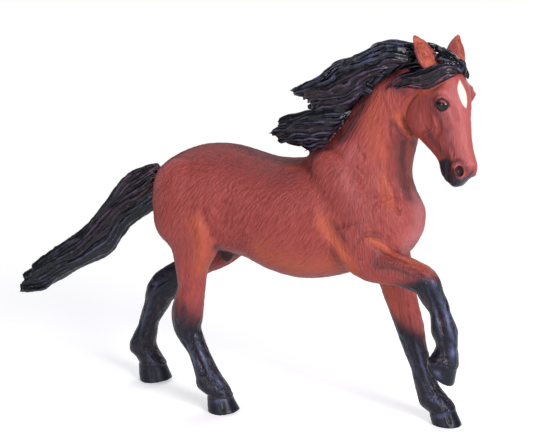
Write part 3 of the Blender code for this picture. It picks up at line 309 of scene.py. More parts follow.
# Strands from the upper edge of the hair to the lower: how brown the paint is at the root and at the
# tip, then the photograph's pixels from root to tip, across and down in turn
MANE_STRANDS = (
    (0.3, 0.3, 413, 42.5, 400, 43.5, 389, 40, 377.5, 41.8, 367.8, 47.6, 357.5, 55, 346, 58.4, 336.2, 62.4,
     326, 69, 317, 77, 307, 81.6, 298.5, 87.3, 292, 91),
    (0.2, 0.4, 414, 50, 400, 50, 388, 47, 376, 50, 366, 57, 354, 61, 342, 64, 332, 70, 323, 78, 312, 84,
     302, 89, 293, 92),
    (0.0, 0.5, 414, 58, 403, 57, 392, 54, 381, 56, 370, 62, 359, 66, 347, 68, 338, 73, 330, 80, 321, 86,
     311, 88, 300, 92, 294, 94),
    (0.5, 0.6, 412, 64, 400, 61, 389, 61, 378, 65, 368, 67.5, 357, 70, 346, 76, 337, 83, 327, 87, 316, 88,
     306, 92, 298, 96),
    (0.7, 0.7, 397, 65, 385, 67, 376, 70.5, 367, 70.5, 359, 76, 350, 82, 341, 87, 331, 90, 320, 91, 311, 93,
     302, 97),
    (0.5, 0.6, 374, 72, 365, 77, 357, 84, 349, 89, 340, 92, 330, 94.5, 320, 94, 312, 97, 304, 99.5),
    (0.5, 0.6, 366, 80, 359, 88, 352, 93, 343, 97, 333, 99, 323, 98, 315, 100, 309, 102.5),
    (0.4, 0.5, 361, 89, 354, 98, 346, 102, 336, 104.5, 328, 104.5, 321.5, 107, 317.5, 110),
    (0.3, 0.4, 357, 97, 349, 106, 339, 109, 328, 110.5, 316, 112.2, 305, 115.4, 295, 119.6, 285.5, 123,
     278.5, 124.2),
    (0.3, 0.2, 353, 105, 343, 112, 332, 114, 321, 114, 309, 116.3, 299, 120, 290, 123.5, 282, 124.8, 278,
     126),
    (0.4, 0.2, 349, 113, 340, 117.5, 329, 119, 318, 117, 307, 117.5, 297, 121, 288, 126, 279, 127.5),
    (0.6, 0.2, 346, 119, 337, 122.5, 325, 124, 314, 122.5, 303, 122.5, 293, 126, 284, 130, 275, 131, 271,
     132),
    (0.7, 0.4, 343, 125, 333, 128, 321, 129, 310, 127.5, 299, 128.5, 290, 132, 281, 134.5, 271.5, 134.5),
    (0.8, 0.3, 340, 129.5, 330, 133, 318, 134, 306, 132.5, 296, 134, 287, 137, 275.5, 138.8),
    (0.9, 0.4, 336, 134, 326, 138, 315, 139, 303, 138, 293, 138.5, 285, 141, 279.5, 142.5),
    (1.0, 0.4, 334, 137, 328, 141, 319, 144, 311, 145.5, 303, 144, 297, 142),
    (1.0, 0.5, 330, 141, 321, 145.5, 313, 147, 306, 146.5, 300, 145),
    (1.0, 0.5, 326, 145, 318, 149, 312, 150.5, 307, 149.5, 304, 148),
)
FORELOCK_STRANDS = (
    (0.6, 0.7, 467, 75, 461, 66, 453, 62, 443, 62, 434, 64, 424, 68, 414, 71, 405, 73, 396, 77, 389, 84,
     384.5, 91),
    (0.8, 0.7, 465, 74, 457, 68, 447, 67, 437, 70, 427, 75, 416, 78, 406, 78, 397, 83, 390, 88),
    (0.9, 0.7, 462, 74, 452, 70, 444, 73, 436, 78, 427, 82, 417, 83, 409, 82, 403, 85, 396, 89),
    (0.9, 0.75, 459, 75, 450, 74, 443, 79, 435, 84, 427, 87.5, 419, 87.5, 412, 85, 406, 86, 399, 88.5),
    (0.9, 0.75, 456, 76, 449, 77.5, 442, 82, 434, 87, 426, 89.5, 418, 89, 411, 87.5),
)
BROW_STRANDS = (
    (0.1, 0.1, 459, 61, 464, 64, 467.5, 70, 469.5, 77, 468, 80),
    (0.2, 0.4, 457, 64, 461.5, 68, 465, 73, 467, 79),
    (0.5, 0.7, 455, 67, 459, 70, 463, 74, 466, 78),
)
CROWN_STRANDS = (
    (0.1, 0.0, 424, 41, 434, 44, 444, 48.5, 452, 54, 459, 61, 464, 66),
    (0.0, 0.1, 427, 47, 437, 49, 446, 53, 453, 58, 460, 64),
    (0.0, 0.1, 430, 54, 440, 55, 449, 58, 457, 63),
    (0.3, 0.3, 434, 60, 442, 60, 450, 61.5, 456, 64),
)
TAIL_STRANDS = (
    (0.9, 0.0, 157, 164.6, 151, 164.9, 145, 166.3, 139, 169.4, 133, 173.3, 126.5, 179.3, 121, 186, 115.5,
     193.5, 108, 203, 103.8, 209.8, 98.3, 216.8, 92.8, 223.3, 87.3, 230, 81.8, 235, 73, 240.8, 68.5, 244,
     64.8, 247.5, 59, 248.4, 54.2, 250, 50.3, 253.5, 48, 257.5),
    (0.8, 0.0, 157, 169, 151, 170.5, 144, 175, 138, 180, 131, 186.5, 124, 193, 116.5, 199, 110, 204.5,
     104.5, 211.5, 99, 219, 93.5, 226, 88, 232.5, 81, 238, 74, 243, 68, 247.5, 62, 251, 56, 254, 50, 258),
    (0.9, 0.2, 157, 173, 152, 178, 146, 184.5, 139.5, 190.5, 131, 196, 123, 201, 115, 205.5, 108.5, 210.5,
     103, 217.5, 97.5, 225, 92, 232, 85.5, 238.5, 78, 243.5, 71, 248.5, 64, 253.6, 57, 258, 50, 261.5, 43.5,
     265.5),
    (1.1, 0.1, 156, 180, 151, 186, 145, 192, 138, 196.5, 129.5, 200.5, 121, 205, 113, 210, 107.5, 216, 102,
     224, 97, 231.5, 90, 238.5, 83, 244, 75.5, 249.5, 68, 254, 60, 258.6, 51, 262.5, 43, 266, 36.8, 269.5,
     32, 273.5),
    (0.8, 0.1, 154, 190, 148, 194, 141, 198, 134, 203, 126, 207.5, 118.5, 212.5, 112, 218, 107, 225, 103,
     232, 96.5, 238, 89, 243.5, 81.5, 249, 73, 254.5, 64, 259, 54, 263, 44, 268.6, 35, 274, 29, 278, 26,
     280.5),
    (0.5, 0.1, 153, 194.5, 146, 198.5, 140, 202, 135, 208, 127, 213.5, 120, 218.5, 115.5, 225, 111.5, 232,
     107, 239, 101.5, 245, 92.5, 251.5, 83, 256.5, 73, 261, 62, 265.5, 51, 270.5, 41, 275, 32, 279.5, 26.5,
     282, 23, 283.6),
    (0.2, 0.0, 152.5, 199.5, 145, 204, 139, 208.5, 132, 214, 124, 220, 119, 226.5, 115.5, 234, 112, 241,
     106, 246.5, 96, 252.5, 86, 257.5, 76, 262, 65, 267.5, 54, 273.5, 43, 279, 33, 283, 21.5, 286),
    (0.1, 0.3, 152, 204, 144, 208.5, 137, 213, 130, 219, 123.5, 226, 119, 233.5, 116.5, 240.5, 112, 246,
     104, 251, 94, 255.5, 84, 260, 74, 265.5, 64, 271.5, 53, 277.5, 43, 283, 33, 287, 21.5, 288.3),
    (0.0, 0.1, 151.5, 207.2, 148, 209.3, 142, 213.2, 136.6, 217.3, 129.3, 222, 122.8, 228, 118, 235.3, 116,
     241.6, 113.6, 246.8, 109.5, 251.2, 102, 254.5, 94.4, 258, 85, 261.7, 76.5, 265.4, 69.8, 269.6, 63.3,
     274.4, 56.8, 278.7, 50.3, 283, 44.5, 288, 36, 291, 29.5, 292, 21.5, 290),
)
SHEET_STEPS = 26
DOCK_DEPTH = 0.0002
DOCK_FILLING = 0.0013
SHEET_LIFT = 0.00055
OUTLINE_REACH = 0.0036
CORE_WIDTH_SHARES = (0.75, 0.62)
SHEET_SINK = 0.00030
SHEET_OVER_SKIN = 0.00055
ROOT_TINT = 1.0

# Sheets of strands: how many lie between two drawn ones, strand radius, the shared wave's swing and
# length, least radius toward the tip as a share, how deep the roots sink, and whether the ends are ragged
MANE_SHEET = (3, MANE_STRAND, 0.00034, 0.0090, 0.75, 0.0022, True)
FORELOCK_SHEET = (3, FORELOCK_STRAND, 0.0, 1.0, 0.5, 0.0007, True)
TAIL_SHEET = (4, TAIL_STRAND, 0.00055, 0.0160, 0.95, 0.0007, False)

# Parting faces, as in the solids
HIND_PARTING_HEIGHT_SHARE = 0.582
HIND_INNER_FACE_SHARE = 0.10
HIND_FRONT_LIMIT_SHARE = -0.070
LEFT_FORE_BACK_SHARE = 0.348
LEFT_FORE_INNER_SHARE = 0.100
LEFT_FORE_TOP_SHARE = 0.560
RIGHT_FORE_CORNER_SHARE = (0.452, 0.0, 0.733)
RIGHT_FORE_PITCH = math.radians(17)
RIGHT_FORE_INNER_SHARE = 0.165
RIGHT_FORE_LOWER_SHARE = (0.375, 0.020, 0.560)
HEAD_PARTING_SHARE = (0.552, 0.0, 1.215)
HEAD_PARTING_PITCH = math.radians(-10)
HEAD_PARTING_YAW = math.radians(-12)
HEAD_PARTING_FLOOR_SHARE = 0.885

# Carved lines on the body: kind, radius and depth in stroke units, then the photograph's pixels in turn.
# The other side has the line too unless it is marked as right. A step is raised on the left of its way.
BODY_STROKES = (
    ("cut", 24, 6.2, 391, 140, 389, 152, 389, 165, 391, 176, 396, 186),
    ("cut", 18, 1.8, 382, 148, 380, 160, 380, 174, 384, 188, 391, 200),
    ("rib", 18, 2.5, 386, 150, 385, 165, 386, 180, 391, 192, 397, 206),
    ("cut", 18, 5.4, 396, 186, 398, 200, 401, 216),
    ("cut", 9, 2.5, 391, 122, 390, 133, 394, 147),
    ("cut", 9, 3, 395, 119, 398, 129, 403, 136, 410, 139),
    ("cut", 8, 2.5, 400, 127, 404, 132, 409, 136),
    ("cut", 8, 1.5, 356, 144, 360, 151, 367, 161),
    ("cut", 7, 1.5, 354, 165, 360, 170, 367, 178),
    ("rib", 7, 1.5, 353, 167, 359, 172, 365, 179),
    ("cut", 9, 1, 371, 186, 376, 195, 375, 208),
    ("cut", 7, 1, 322, 152, 326, 156, 330, 161),
    ("step", 30, 5.4, 352, 272, 343, 254, 335, 241, 325, 226, 320, 210, 316, 190),
    ("cut", 24, 2.7, 378, 196, 374, 212, 380, 228),
    ("right cut", 9, 2, 357, 247, 359, 240, 364, 235, 371, 232.5, 379, 234, 385, 241),
    ("right cut", 6, 1.5, 361, 241, 365, 237, 371, 235.5, 378, 237, 383, 241),
    ("right rib", 8, 2, 368, 239, 378, 243, 390, 250, 402, 257, 413, 262),
    ("right cut", 8, 2.5, 370, 244, 380, 250, 392, 256, 404, 261, 413, 266),
    ("right cut", 9, 1.5, 352, 257, 352, 250, 354, 244),
    ("right cut", 6, 1, 358, 258, 362, 260, 367, 257),
    ("cut", 7, 1, 318, 234, 325, 234, 331, 238),
    ("cut", 6, 1, 322, 238, 328, 241, 333, 245),
    ("cut", 34, 5.4, 226, 196, 222, 212, 216, 228),
    ("step", 22, 4.5, 211, 243, 208, 230, 202, 218, 199, 206),
    ("right rib", 19, 3.6, 195, 220, 200, 232, 203, 246, 202, 262),
    ("cut", 6, 1.5, 203, 206, 204, 214, 207, 222, 211, 230),
    ("cut", 6, 1.5, 214, 203, 217, 211, 219, 219),
    ("cut", 6, 1.5, 208, 207, 210, 214, 214, 222, 216, 227),
    ("cut", 5, 1, 236, 181, 232, 188, 230, 197),
    ("cut", 5, 1, 228, 183, 227, 191, 229, 199),
    ("cut", 5, 1, 240, 179, 238, 186, 233, 193),
)

# Carved lines on the legs, alike on both faces of each leg
LEG_STROKES = (
    ("cut", 26, 1.9, 186, 262, 186, 280, 184, 296),
    ("rib", 14, 2.6, 181, 268, 181, 285, 177, 300, 175, 312),
    ("cut", 12, 2.6, 184, 300, 181, 312, 184, 326),
    ("cut", 8, 1.9, 373, 269, 386, 268, 402, 271, 416, 280),
    ("cut", 9, 1.9, 404, 266, 416, 270, 426, 278),
    ("rib", 12, 1.9, 424, 270, 432, 278, 436, 288),
    ("cut", 10, 3.9, 428, 281, 434, 296, 439, 312, 443, 330, 446, 348),
    ("rib", 11, 2.6, 437, 288, 444, 306, 449, 324, 451, 342),
    ("cut", 7, 2.6, 429, 300, 433, 314, 434, 330),
    ("rib", 8, 1.9, 432, 300, 436, 316, 439, 334),
    ("cut", 7, 1.9, 445, 347, 447, 355, 446, 362),
    ("cut", 5, 1.9, 428, 358.5, 436, 361.5, 443, 365, 450, 367.5, 457, 367.5),
    ("cut", 9, 3.9, 443, 366, 441, 373, 439, 380),
    ("cut", 6, 1.9, 432, 371, 436, 366, 439, 362),
    ("cut", 5, 1.3, 435, 374, 438, 369, 441, 365),
    ("cut", 8, 2.6, 408, 296, 409, 312, 411, 326, 414, 338),
    ("cut", 7, 1.9, 398, 300, 400, 314, 403, 328),
    ("rib", 18, 2.6, 402, 332, 406, 338, 409, 345),
    ("cut", 9, 3.3, 413, 340, 418, 358, 423, 376, 428, 392),
    ("cut", 6, 1.9, 422, 340, 426, 356, 431, 374),
    ("cut", 6, 1.9, 409, 352, 414, 368, 418, 384),
    ("rib", 8, 1.9, 417, 345, 422, 360, 427, 378, 432, 390),
    ("cut", 8, 1.9, 424, 402, 430, 397, 434, 388),
    ("cut", 5, 1.9, 430, 413, 438, 414, 446, 411, 453, 407),
    ("cut", 8, 3.3, 446, 411, 448, 418, 451, 425),
    ("cut", 9, 3.3, 180, 336, 188, 352, 193, 368, 197, 382),
    ("rib", 8, 1.9, 184, 338, 191, 352, 196, 368, 201, 382),
    ("rib", 9, 2.6, 194, 334, 198, 350, 206, 368, 215, 386),
    ("cut", 9, 2.6, 190, 322, 192, 338, 197, 356, 205, 374),
    ("cut", 8, 1.9, 178, 330, 182, 321, 190, 317),
    ("cut", 5, 1.9, 209, 400, 217, 399, 226, 399, 234, 398),
    ("cut", 6, 1.9, 222, 401, 223, 406, 224, 411),
    ("cut", 9, 2.6, 158, 304, 150, 318, 144, 332, 140, 344),
    ("cut", 7, 1.9, 165, 300, 157, 312, 152, 326),
    ("cut", 8, 3.3, 150, 285, 158, 285, 168, 279),
    ("rib", 16, 1.9, 152, 277, 157, 277, 163, 273),
    ("rib", 8, 1.9, 146, 348, 149, 356, 153, 363),
    ("cut", 5, 1.9, 141, 366, 150, 367, 159, 367, 167, 365),
    ("cut", 6, 1.9, 152, 369, 152, 374, 153, 379),
)
NEAR_LEG_MIDDLE = -0.0082
FAR_LEG_MIDDLE = 0.0096

# Carved lines on the head
HEAD_STROKES = (
    ("step", 16, 5, 416, 137.5, 410, 133, 404, 126, 399, 117),
    ("cut", 6, 3, 420, 92, 412, 100, 408, 107, 406, 115, 407, 122),
    ("cut", 5, 1.5, 408, 96, 402, 102, 400, 109),
    ("rib", 10, 2.7, 432, 112, 434, 120, 435, 128),
    ("cut", 12, 2.7, 439, 118, 440, 130, 436, 138),
    ("rib", 5, 1.5, 434, 128, 430, 132, 424, 136, 428, 137),
    ("rib", 4, 1.5, 440, 140, 442, 148, 441, 156),
    ("rib", 4, 1.5, 455, 150, 455, 157, 454, 162),
    ("cut", 9, 3, 449, 160, 447.5, 168, 447.5, 177, 450, 185),
    ("cut", 5, 1.5, 443, 165, 442.5, 172, 444, 179),
    ("right rib", 8, 3, 451.5, 171, 453, 164, 458, 161.5, 463.5, 164, 466, 171),
    ("cut", 14, 2.7, 448, 140, 452, 150, 455, 158),
    ("rib", 5, 3.4, 434, 104, 436.5, 99.5, 441.5, 97, 446.5, 99, 449, 104),
    ("cut", 8, 1.8, 432, 101, 436, 95.5, 442.5, 93, 449, 96),
    ("rib", 5, 2.2, 435.5, 107, 438, 110.8, 442.5, 112.2, 447.5, 109.5),
    ("right cut", 6, 2.2, 426, 91.5, 434, 89, 441, 84.5, 448, 80),
    ("cut", 5, 1.4, 423, 64, 419, 52, 417.5, 43),
    ("rib", 5, 1.6, 429, 62, 424, 52, 420, 43),
    ("cut", 5, 1.4, 433, 61, 429, 53, 424.5, 45),
    ("cut", 16, 3.6, 450, 104, 454, 114, 458, 124),
)
EAR_HOLLOW = ("cut", 23, 8, 428, 61, 424, 53, 420, 44, 418, 38)
NOSTRIL_PIXEL = (458.5, 171.5)
NOSTRIL_SIZE = (0.0012, 0.0016)
NOSTRIL_DEPTHS = (0.0018, 0.0008)
NOSTRIL_RIM = 0.0001
EYE_PIXEL = (441.4, 105.1)
EYE_RADIUS = 0.0020
EYE_SINKS = (0.00115, 0.0016)
EYE_RISE = 0.0001
SOCKET_SIZE = (0.0021, 0.0018)
SOCKET_DEPTHS = (0.0006, 0.0003)

# Dents of the face: middle, rise, the way out of the skin as brow and side shares, tilt, sizes, depths, rim
DENTS = (
    (NOSTRIL_PIXEL, 0.0, (0.15, 0.45), 0.15, NOSTRIL_SIZE, NOSTRIL_DEPTHS, NOSTRIL_RIM),
    (EYE_PIXEL, EYE_RISE, (0.0, 0.30), 0.0, SOCKET_SIZE, SOCKET_DEPTHS, 0.0),
)

# Painted highlights on the black of the legs, bluish streaks along the lit fronts of cannons, knees,
# fetlocks and hooves: radius in stroke units, strength, pixels in turn
LEG_SHEEN_STROKES = (
    (7, 1.0, 436, 289, 442, 302, 447, 316, 451, 330, 454, 343),
    (10, 0.8, 429, 277, 433, 282, 436, 290),
    (8, 0.9, 451, 345, 453, 352, 454, 362),
    (4, 0.6, 434, 303, 438, 320, 441, 336),
    (6, 0.8, 431, 370, 437, 373, 441, 377),
    (5, 0.7, 415, 338, 419, 355, 424, 372, 429, 388),
    (4, 0.6, 409, 352, 413, 367, 418, 382),
    (7, 0.6, 426, 396, 434, 399, 442, 404),
    (6, 0.7, 435, 417, 443, 416, 450, 412),
    (5, 0.8, 196, 336, 200, 350, 207, 365, 214, 379),
    (4, 0.5, 188, 345, 193, 358, 198, 372),
    (8, 0.7, 213, 372, 219, 382, 223, 390),
    (6, 0.7, 212, 402, 220, 401, 229, 400),
    (6, 0.5, 154, 292, 148, 306, 143, 322, 138, 338),
    (7, 0.6, 158, 282, 153, 290),
    (6, 0.5, 146, 352, 151, 360, 156, 367),
)

# Paint laid along lines, by mask: radius in stroke units, strength, pixels in turn. The dark lines are
# mostly painted shade (the back, the neck's front and throat groove, the cheek, round the eye, under the
# forelock and the elbow) and partly dark paint along the mane's root.
PAINT_STROKES = {"dark": (
    (36, 0.6, 240, 146, 252, 152, 266, 157, 284, 161, 300, 162),
    (75, 0.34, 222, 160, 243, 166, 265, 172, 292, 180),
    (30, 0.8, 340, 138, 349, 128, 355, 118, 361, 106, 367, 95, 373, 86, 382, 79, 395, 76),
    (22, 0.6, 314, 154, 326, 149, 338, 141),
    (26, 0.5, 326, 149, 338, 140, 350, 129),
    (34, 0.62, 399, 136, 400, 152, 401, 168, 404, 182, 409, 196),
    (20, 0.8, 403, 142, 402, 156, 403, 170),
    (16, 0.55, 392, 122, 398, 132, 406, 140, 414, 143),
    (12, 0.4, 352, 100, 360, 88, 372, 76),
    (80, 0.3, 340, 178, 348, 205, 362, 228),
    (50, 0.22, 186, 240, 190, 260, 192, 280),
    (7, 0.95, 434.5, 106, 436.5, 101.5, 441.5, 98.8, 446.5, 101, 448.5, 105),
    (6, 0.7, 436.5, 108.5, 441, 111.5, 446.5, 109),
    (16, 0.75, 450, 164, 451, 171, 455, 178),
    (10, 0.6, 452, 163, 458, 161, 464, 164.5, 466.5, 171),
    (22, 0.6, 430, 135, 440, 148, 448, 158),
    (14, 0.5, 430, 100, 432, 108, 437, 115),
    (30, 0.42, 443, 118, 447, 132, 449, 148),
    (12, 0.55, 345, 240, 340, 232, 334, 222),
), "right dark": (
    (26, 0.5, 388, 84, 396, 88, 404, 92),
    (15, 0.6, 215, 247, 222, 250, 228, 256),
    (14, 0.45, 418, 66, 416.5, 58, 416, 50),
    (32, 0.6, 378, 264, 392, 268, 404, 271, 418, 277),
    (18, 0.4, 375, 252, 390, 258, 402, 264),
    (24, 0.3, 355, 245, 362, 238, 372, 235),
# Orange: paint on the ears, along the mane's edge and under the forelock; elsewhere a painted orange
# highlight on the lit edges of thigh, forearm, cheek and belly
), "warm": (
    (26, 0.9, 322, 222, 334, 241, 345, 256, 354, 272),
    (20, 1.0, 399, 117, 405, 127, 412, 134, 421, 140),
    (30, 0.8, 196, 222, 201, 236, 203, 250, 201, 270),
    (12, 0.8, 420, 94, 412, 101, 407, 110, 406, 120),
    (46, 0.8, 262, 254, 285, 264, 310, 268, 335, 266),
    (40, 0.5, 375, 105, 372, 120, 380, 150),
    (20, 0.7, 383, 180, 386, 192, 392, 204),
    (18, 1.0, 430, 63, 424, 54, 420, 45, 418, 39),
    (10, 1.0, 312, 150, 325, 144.5, 338, 133),
    (9, 1.0, 361, 84, 366, 79.5, 373, 76),
), "right warm": (
    (12, 1.0, 368, 239, 380, 245, 392, 252, 404, 258, 416, 263),
    (6, 0.9, 431.5, 62, 427, 53, 422, 44),
    (6, 0.9, 426, 64, 423, 56, 420.5, 49),
    (20, 0.8, 414, 263, 424, 264, 433, 271, 437, 277),
    (22, 0.7, 385, 285, 390, 296, 396, 310),
    (9, 1.0, 424, 91.5, 432, 89, 440, 84.5, 446, 81),
# Painted highlight: pink on the lit breast, the rump's upper edge and the neck
), "pale": (
    (46, 1.0, 415, 200, 421, 214, 418, 230, 410, 240),
    (22, 0.6, 157, 182, 162, 170, 172, 161, 186, 154),
    (20, 0.45, 352, 150, 345, 170, 350, 190),
)}
PAINT_FADE = 1.2
FACE_CORNER_PIXEL = (399, 170)
NOSTRIL_PAINT = 0.0019
# How strong the painted highlight down the lit nose bridge is
BRIDGE_STRENGTH = 0.55
SHEATH_REACH = 0.005
SHEATH_TOP = 0.056
# Painted shade in creases and broad hollows, and painted highlight on raised forms: rounds of smoothing, and
# the depth that gives the full mask
COAT_SHADE_AND_HIGHLIGHT = {"hollow": (6, 0.00006), "deep": (40, 0.00035), "proud": (10, -0.00010)}
MUZZLE_PIXELS = (
    436, 165, 442, 160, 448, 158, 451.5, 163, 451, 171, 454, 177, 461, 179, 468, 175, 477, 167, 477, 180,
    465, 192, 450, 194, 436, 184,
)
BRIDGE_PIXELS = (
    446, 79, 454, 76, 463, 80, 476, 92, 473, 104, 472, 115, 473.5, 134, 475.5, 151, 481, 162, 471, 166,
    467, 158, 464, 148, 461, 132, 456, 119, 449, 106, 446, 95, 443, 86,
)
SHEATH_PIXELS = (
    212, 238, 222, 235, 232, 241, 240, 249, 235, 256, 227, 262, 221, 260, 215, 248,
)
STAR_PIXELS = (
    459.5, 79.5, 463, 86, 466, 93, 467, 101, 466, 108, 461.8, 102.5, 458.3, 93, 457.8, 86,
)

# Which way the coat's hair lies: (BODY_LENGTH, WITHERS_HEIGHT) shares of a place, then how far the hair
# leads ahead and up
COAT_FLOW_SHARES = (
    (0.05, 0.8, -0.75, -0.65), (0.1, 0.6, -0.9, -0.35), (-0.2, 0.97, -0.9, -0.3), (-0.4, 0.8, -0.5, -0.85),
    (-0.28, 0.8, -0.65, -0.75), (-0.08, 0.78, 0.1, -1.0), (-0.25, 0.65, -0.15, -1.0),
    (0.32, 0.82, -0.2, -1.0), (0.2, 0.92, -0.6, -0.8), (0.35, 1.0, -0.3, -1.0), (0.5, 1.2, -0.55, -0.85),
    (0.55, 1.0, 0.0, -1.0), (0.57, 0.82, 0.2, -1.0),
)
COAT_FLOW_SPREAD = 0.010
LEG_FLOW_WEIGHT = 8
FACE_FLOW_WEIGHT = 10
FACE_FLOW_WAY = (1.0, -0.25, 0.0)
FACE_FLOW_SHARES = ((-0.1, 0.1), (-0.5, -0.35))
FACE_RELIEF_SHARES = ((-0.1, 0.2), (-0.45, -0.25))
COAT_RELIEF = 0.000035
FACE_RELIEF = 0.000015
LEG_RELIEF = 0.000050
HOOF_EDGE = (0.0003, 0.0007)
HAIR_RELIEF = 0.000060
HAIR_GROOVE = 0.00013
HAIR_SAMPLES = 150
HAIR_HOLLOW_DEPTH = 0.00014
HAIR_PROUD_HEIGHT = 0.00012

# Paint grain, brush marks that lean back so many degrees, and how high they stand
MOTTLE_SIZE = 0.006
COAT_GRAIN = 0.0007
HAIR_GRAIN = 0.0005
EYE_GRAIN = 0.0012
FLOOR_GRAIN = 0.02
BRUSH_WIDTH = 0.00042
BRUSH_LENGTH = 0.0032
BRUSH_LEANS = (-5, 28, 58)
COAT_BUMP = 0.00020
HAIR_BUMP = 0.00010

# Studio: the floor turns white between two distances. Lamps: place, size, power and colour
FLOOR_SIZE = 8.0
FLOOR_FADE = (0.10, 0.26)
ROOM_COLOUR = (0.86, 0.90, 1.0, 1.0)
ROOM_STRENGTH = 0.22
WHITE = (1, 1, 1, 1)
LAMPS = {
    "front_key": ((0.62, -0.42, 0.30), 0.30, 6.2, (1.0, 0.98, 1.0)),
    "side_fill": ((-0.10, -0.80, 0.22), 0.40, 2.6, (0.90, 0.94, 1.0)),
    "top_rim": ((-0.30, 0.30, 0.62), 0.40, 1.2, (1.0, 0.96, 0.98)),
    "far_fill": ((0.10, 0.75, 0.35), 0.50, 1.8, (0.98, 0.98, 1.0)),
}


def place(share):
    """A point from its shares of the body's length, the barrel's width and the height at the withers."""
    along, across, up = share
    return Vector((along * BODY_LENGTH, across * BARREL_WIDTH, up * WITHERS_HEIGHT)) + FIGURE_SHIFT


def soft_step(low, high, value):
    """0 below the low value, 1 above the high one, and an S-curve between, for arrays."""
    t = np.clip((value - low) / (high - low), 0.0, 1.0)
    return t * t * (3 - 2 * t)


def sway(height):
    """How far to the side the neck's middle lies at a height: the neck turns to the horse's right."""
    start = SWAY_START_SHARE * WITHERS_HEIGHT
    full = POLL_SHARE[1] * WITHERS_HEIGHT
    return -NECK_SWAY * np.clip((height - start) / (full - start), 0.0, 1.0) ** 2


def head_frame():
    """Columns: down the face, out of the brow, and to the horse's right. Its origin is the poll."""
    forward = Vector((math.cos(HEAD_YAW), math.sin(HEAD_YAW), 0))
    right = Vector((math.sin(HEAD_YAW), -math.cos(HEAD_YAW), 0))
    up = Vector((0, 0, 1))
    down_face = forward * math.sin(HEAD_PITCH) - up * math.cos(HEAD_PITCH)
    out_of_brow = forward * math.cos(HEAD_PITCH) + up * math.sin(HEAD_PITCH)
    turned = Matrix((down_face, out_of_brow, right)).transposed().to_4x4()
    poll = place((POLL_SHARE[0], 0, POLL_SHARE[1]))
    poll.y += sway(poll.z)
    return Matrix.Translation(poll) @ turned


def on_head(share):
    return head_frame() @ (Vector(share) * HEAD_LENGTH)


def moved(points, matrix):
    """An array of points taken through a matrix."""
    matrix = np.array(matrix)
    return points @ matrix[:3, :3].T + matrix[:3, 3]


def head_shares_of(points):
    """Places down the face, out of the brow and to the right, as shares of HEAD_LENGTH."""
    return moved(points, head_frame().inverted()) / HEAD_LENGTH


def face_share(points, down, out):
    """1 on the face, fading to 0 between two places down it and two places out of the brow."""
    local = head_shares_of(points)
    above = points[:, 2] > HEAD_PARTING_FLOOR_SHARE * WITHERS_HEIGHT
    return soft_step(*down, local[:, 0]) * soft_step(*out, local[:, 1]) * above


def on_side(points, name):
    """Whether each point lies on a leg's side of the body."""
    return points[:, 1] * (1 if name.startswith("left") else -1) > 0


def unit(vectors):
    return vectors / np.maximum(np.linalg.norm(vectors, axis=1), TINY)[:, None]


def rows_of(numbers, width=2):
    """The points of a row that gives their parts in turn."""
    return np.reshape(numbers, (-1, width))


def way_along(path):
    """How far along a path each of its points lies."""
    return np.concatenate(([0], np.cumsum(np.linalg.norm(np.diff(path, axis=0), axis=1))))


def finer(rows, steps):
    """Rows of a table, filled in along a smooth Catmull-Rom curve through them."""
    rows = np.array(rows, float)
    ends = np.vstack((2 * rows[:1] - rows[1:2], rows, 2 * rows[-1:] - rows[-2:-1]))
    filled = []
    for before, start, end, after in zip(ends, ends[1:], ends[2:], ends[3:]):
        for step in range(steps):
            t = step / steps
            square = (2 * before - 5 * start + 4 * end - after) * t**2
            cube = (3 * start - before - 3 * end + after) * t**3
            filled.append(0.5 * (2 * start + (end - before) * t + square + cube))
    filled.append(rows[-1])
    return np.array(filled)


# Objects and operators


def select_only(*objects):
    bpy.ops.object.select_all(action="DESELECT")
    for obj in objects:
        obj.select_set(True)
    bpy.context.view_layer.objects.active = objects[0]


def finish_with(obj, kind, **settings):
    """Adds a modifier, sets it and applies it."""
    modifier = obj.modifiers.new(kind.lower(), kind)
    for name, value in settings.items():
        setattr(modifier, name, value)
    select_only(obj)
    bpy.ops.object.modifier_apply(modifier=modifier.name)


def joined(name, objects):
    select_only(*objects)
    bpy.ops.object.join()
    obj = bpy.context.object
    obj.name = name
    return obj


def discard(obj):
    bpy.data.objects.remove(obj)


def values_of(items, name, width=1, kind=float):
    """One value or vector for each item of a mesh."""
    found = np.empty(len(items) * width, kind)
    items.foreach_get(name, found)
    return found.reshape(-1, width) if width > 1 else found


def ring(centre, across, along, squareness=2.0):
    """Points round a section whose half axes are two vectors. A squareness of 2 is an ellipse."""
    points = []
    for step in range(LOFT_SIDES):
        angle = 2 * math.pi * step / LOFT_SIDES
        side = math.copysign(abs(math.cos(angle)) ** (2 / squareness), math.cos(angle))
        depth = math.copysign(abs(math.sin(angle)) ** (2 / squareness), math.sin(angle))
        points.append(centre + across * side + along * depth)
    return points


def loft(rings):
    """A closed form: a disc laid on the first ring, then extruded from ring to ring."""
    bpy.ops.mesh.primitive_circle_add(vertices=LOFT_SIDES, radius=HOOF_LENGTH, fill_type="NGON")
    obj = bpy.context.object
    bpy.ops.object.mode_set(mode="EDIT")
    shape = bmesh.from_edit_mesh(obj.data)
    seat = shape.verts.layers.int.new("seat")
    for number, vert in enumerate(shape.verts):
        vert[seat] = number
    for index, points in enumerate(rings):
        if index:
            bpy.ops.mesh.extrude_region_move()
            shape = bmesh.from_edit_mesh(obj.data)
            seat = shape.verts.layers.int["seat"]
        for vert in shape.verts:
            if vert.select:
                vert.co = points[vert[seat]]
        bmesh.update_edit_mesh(obj.data)
    bpy.ops.mesh.select_all(action="SELECT")
    bpy.ops.mesh.normals_make_consistent(inside=False)
    bpy.ops.object.mode_set(mode="OBJECT")
    return obj


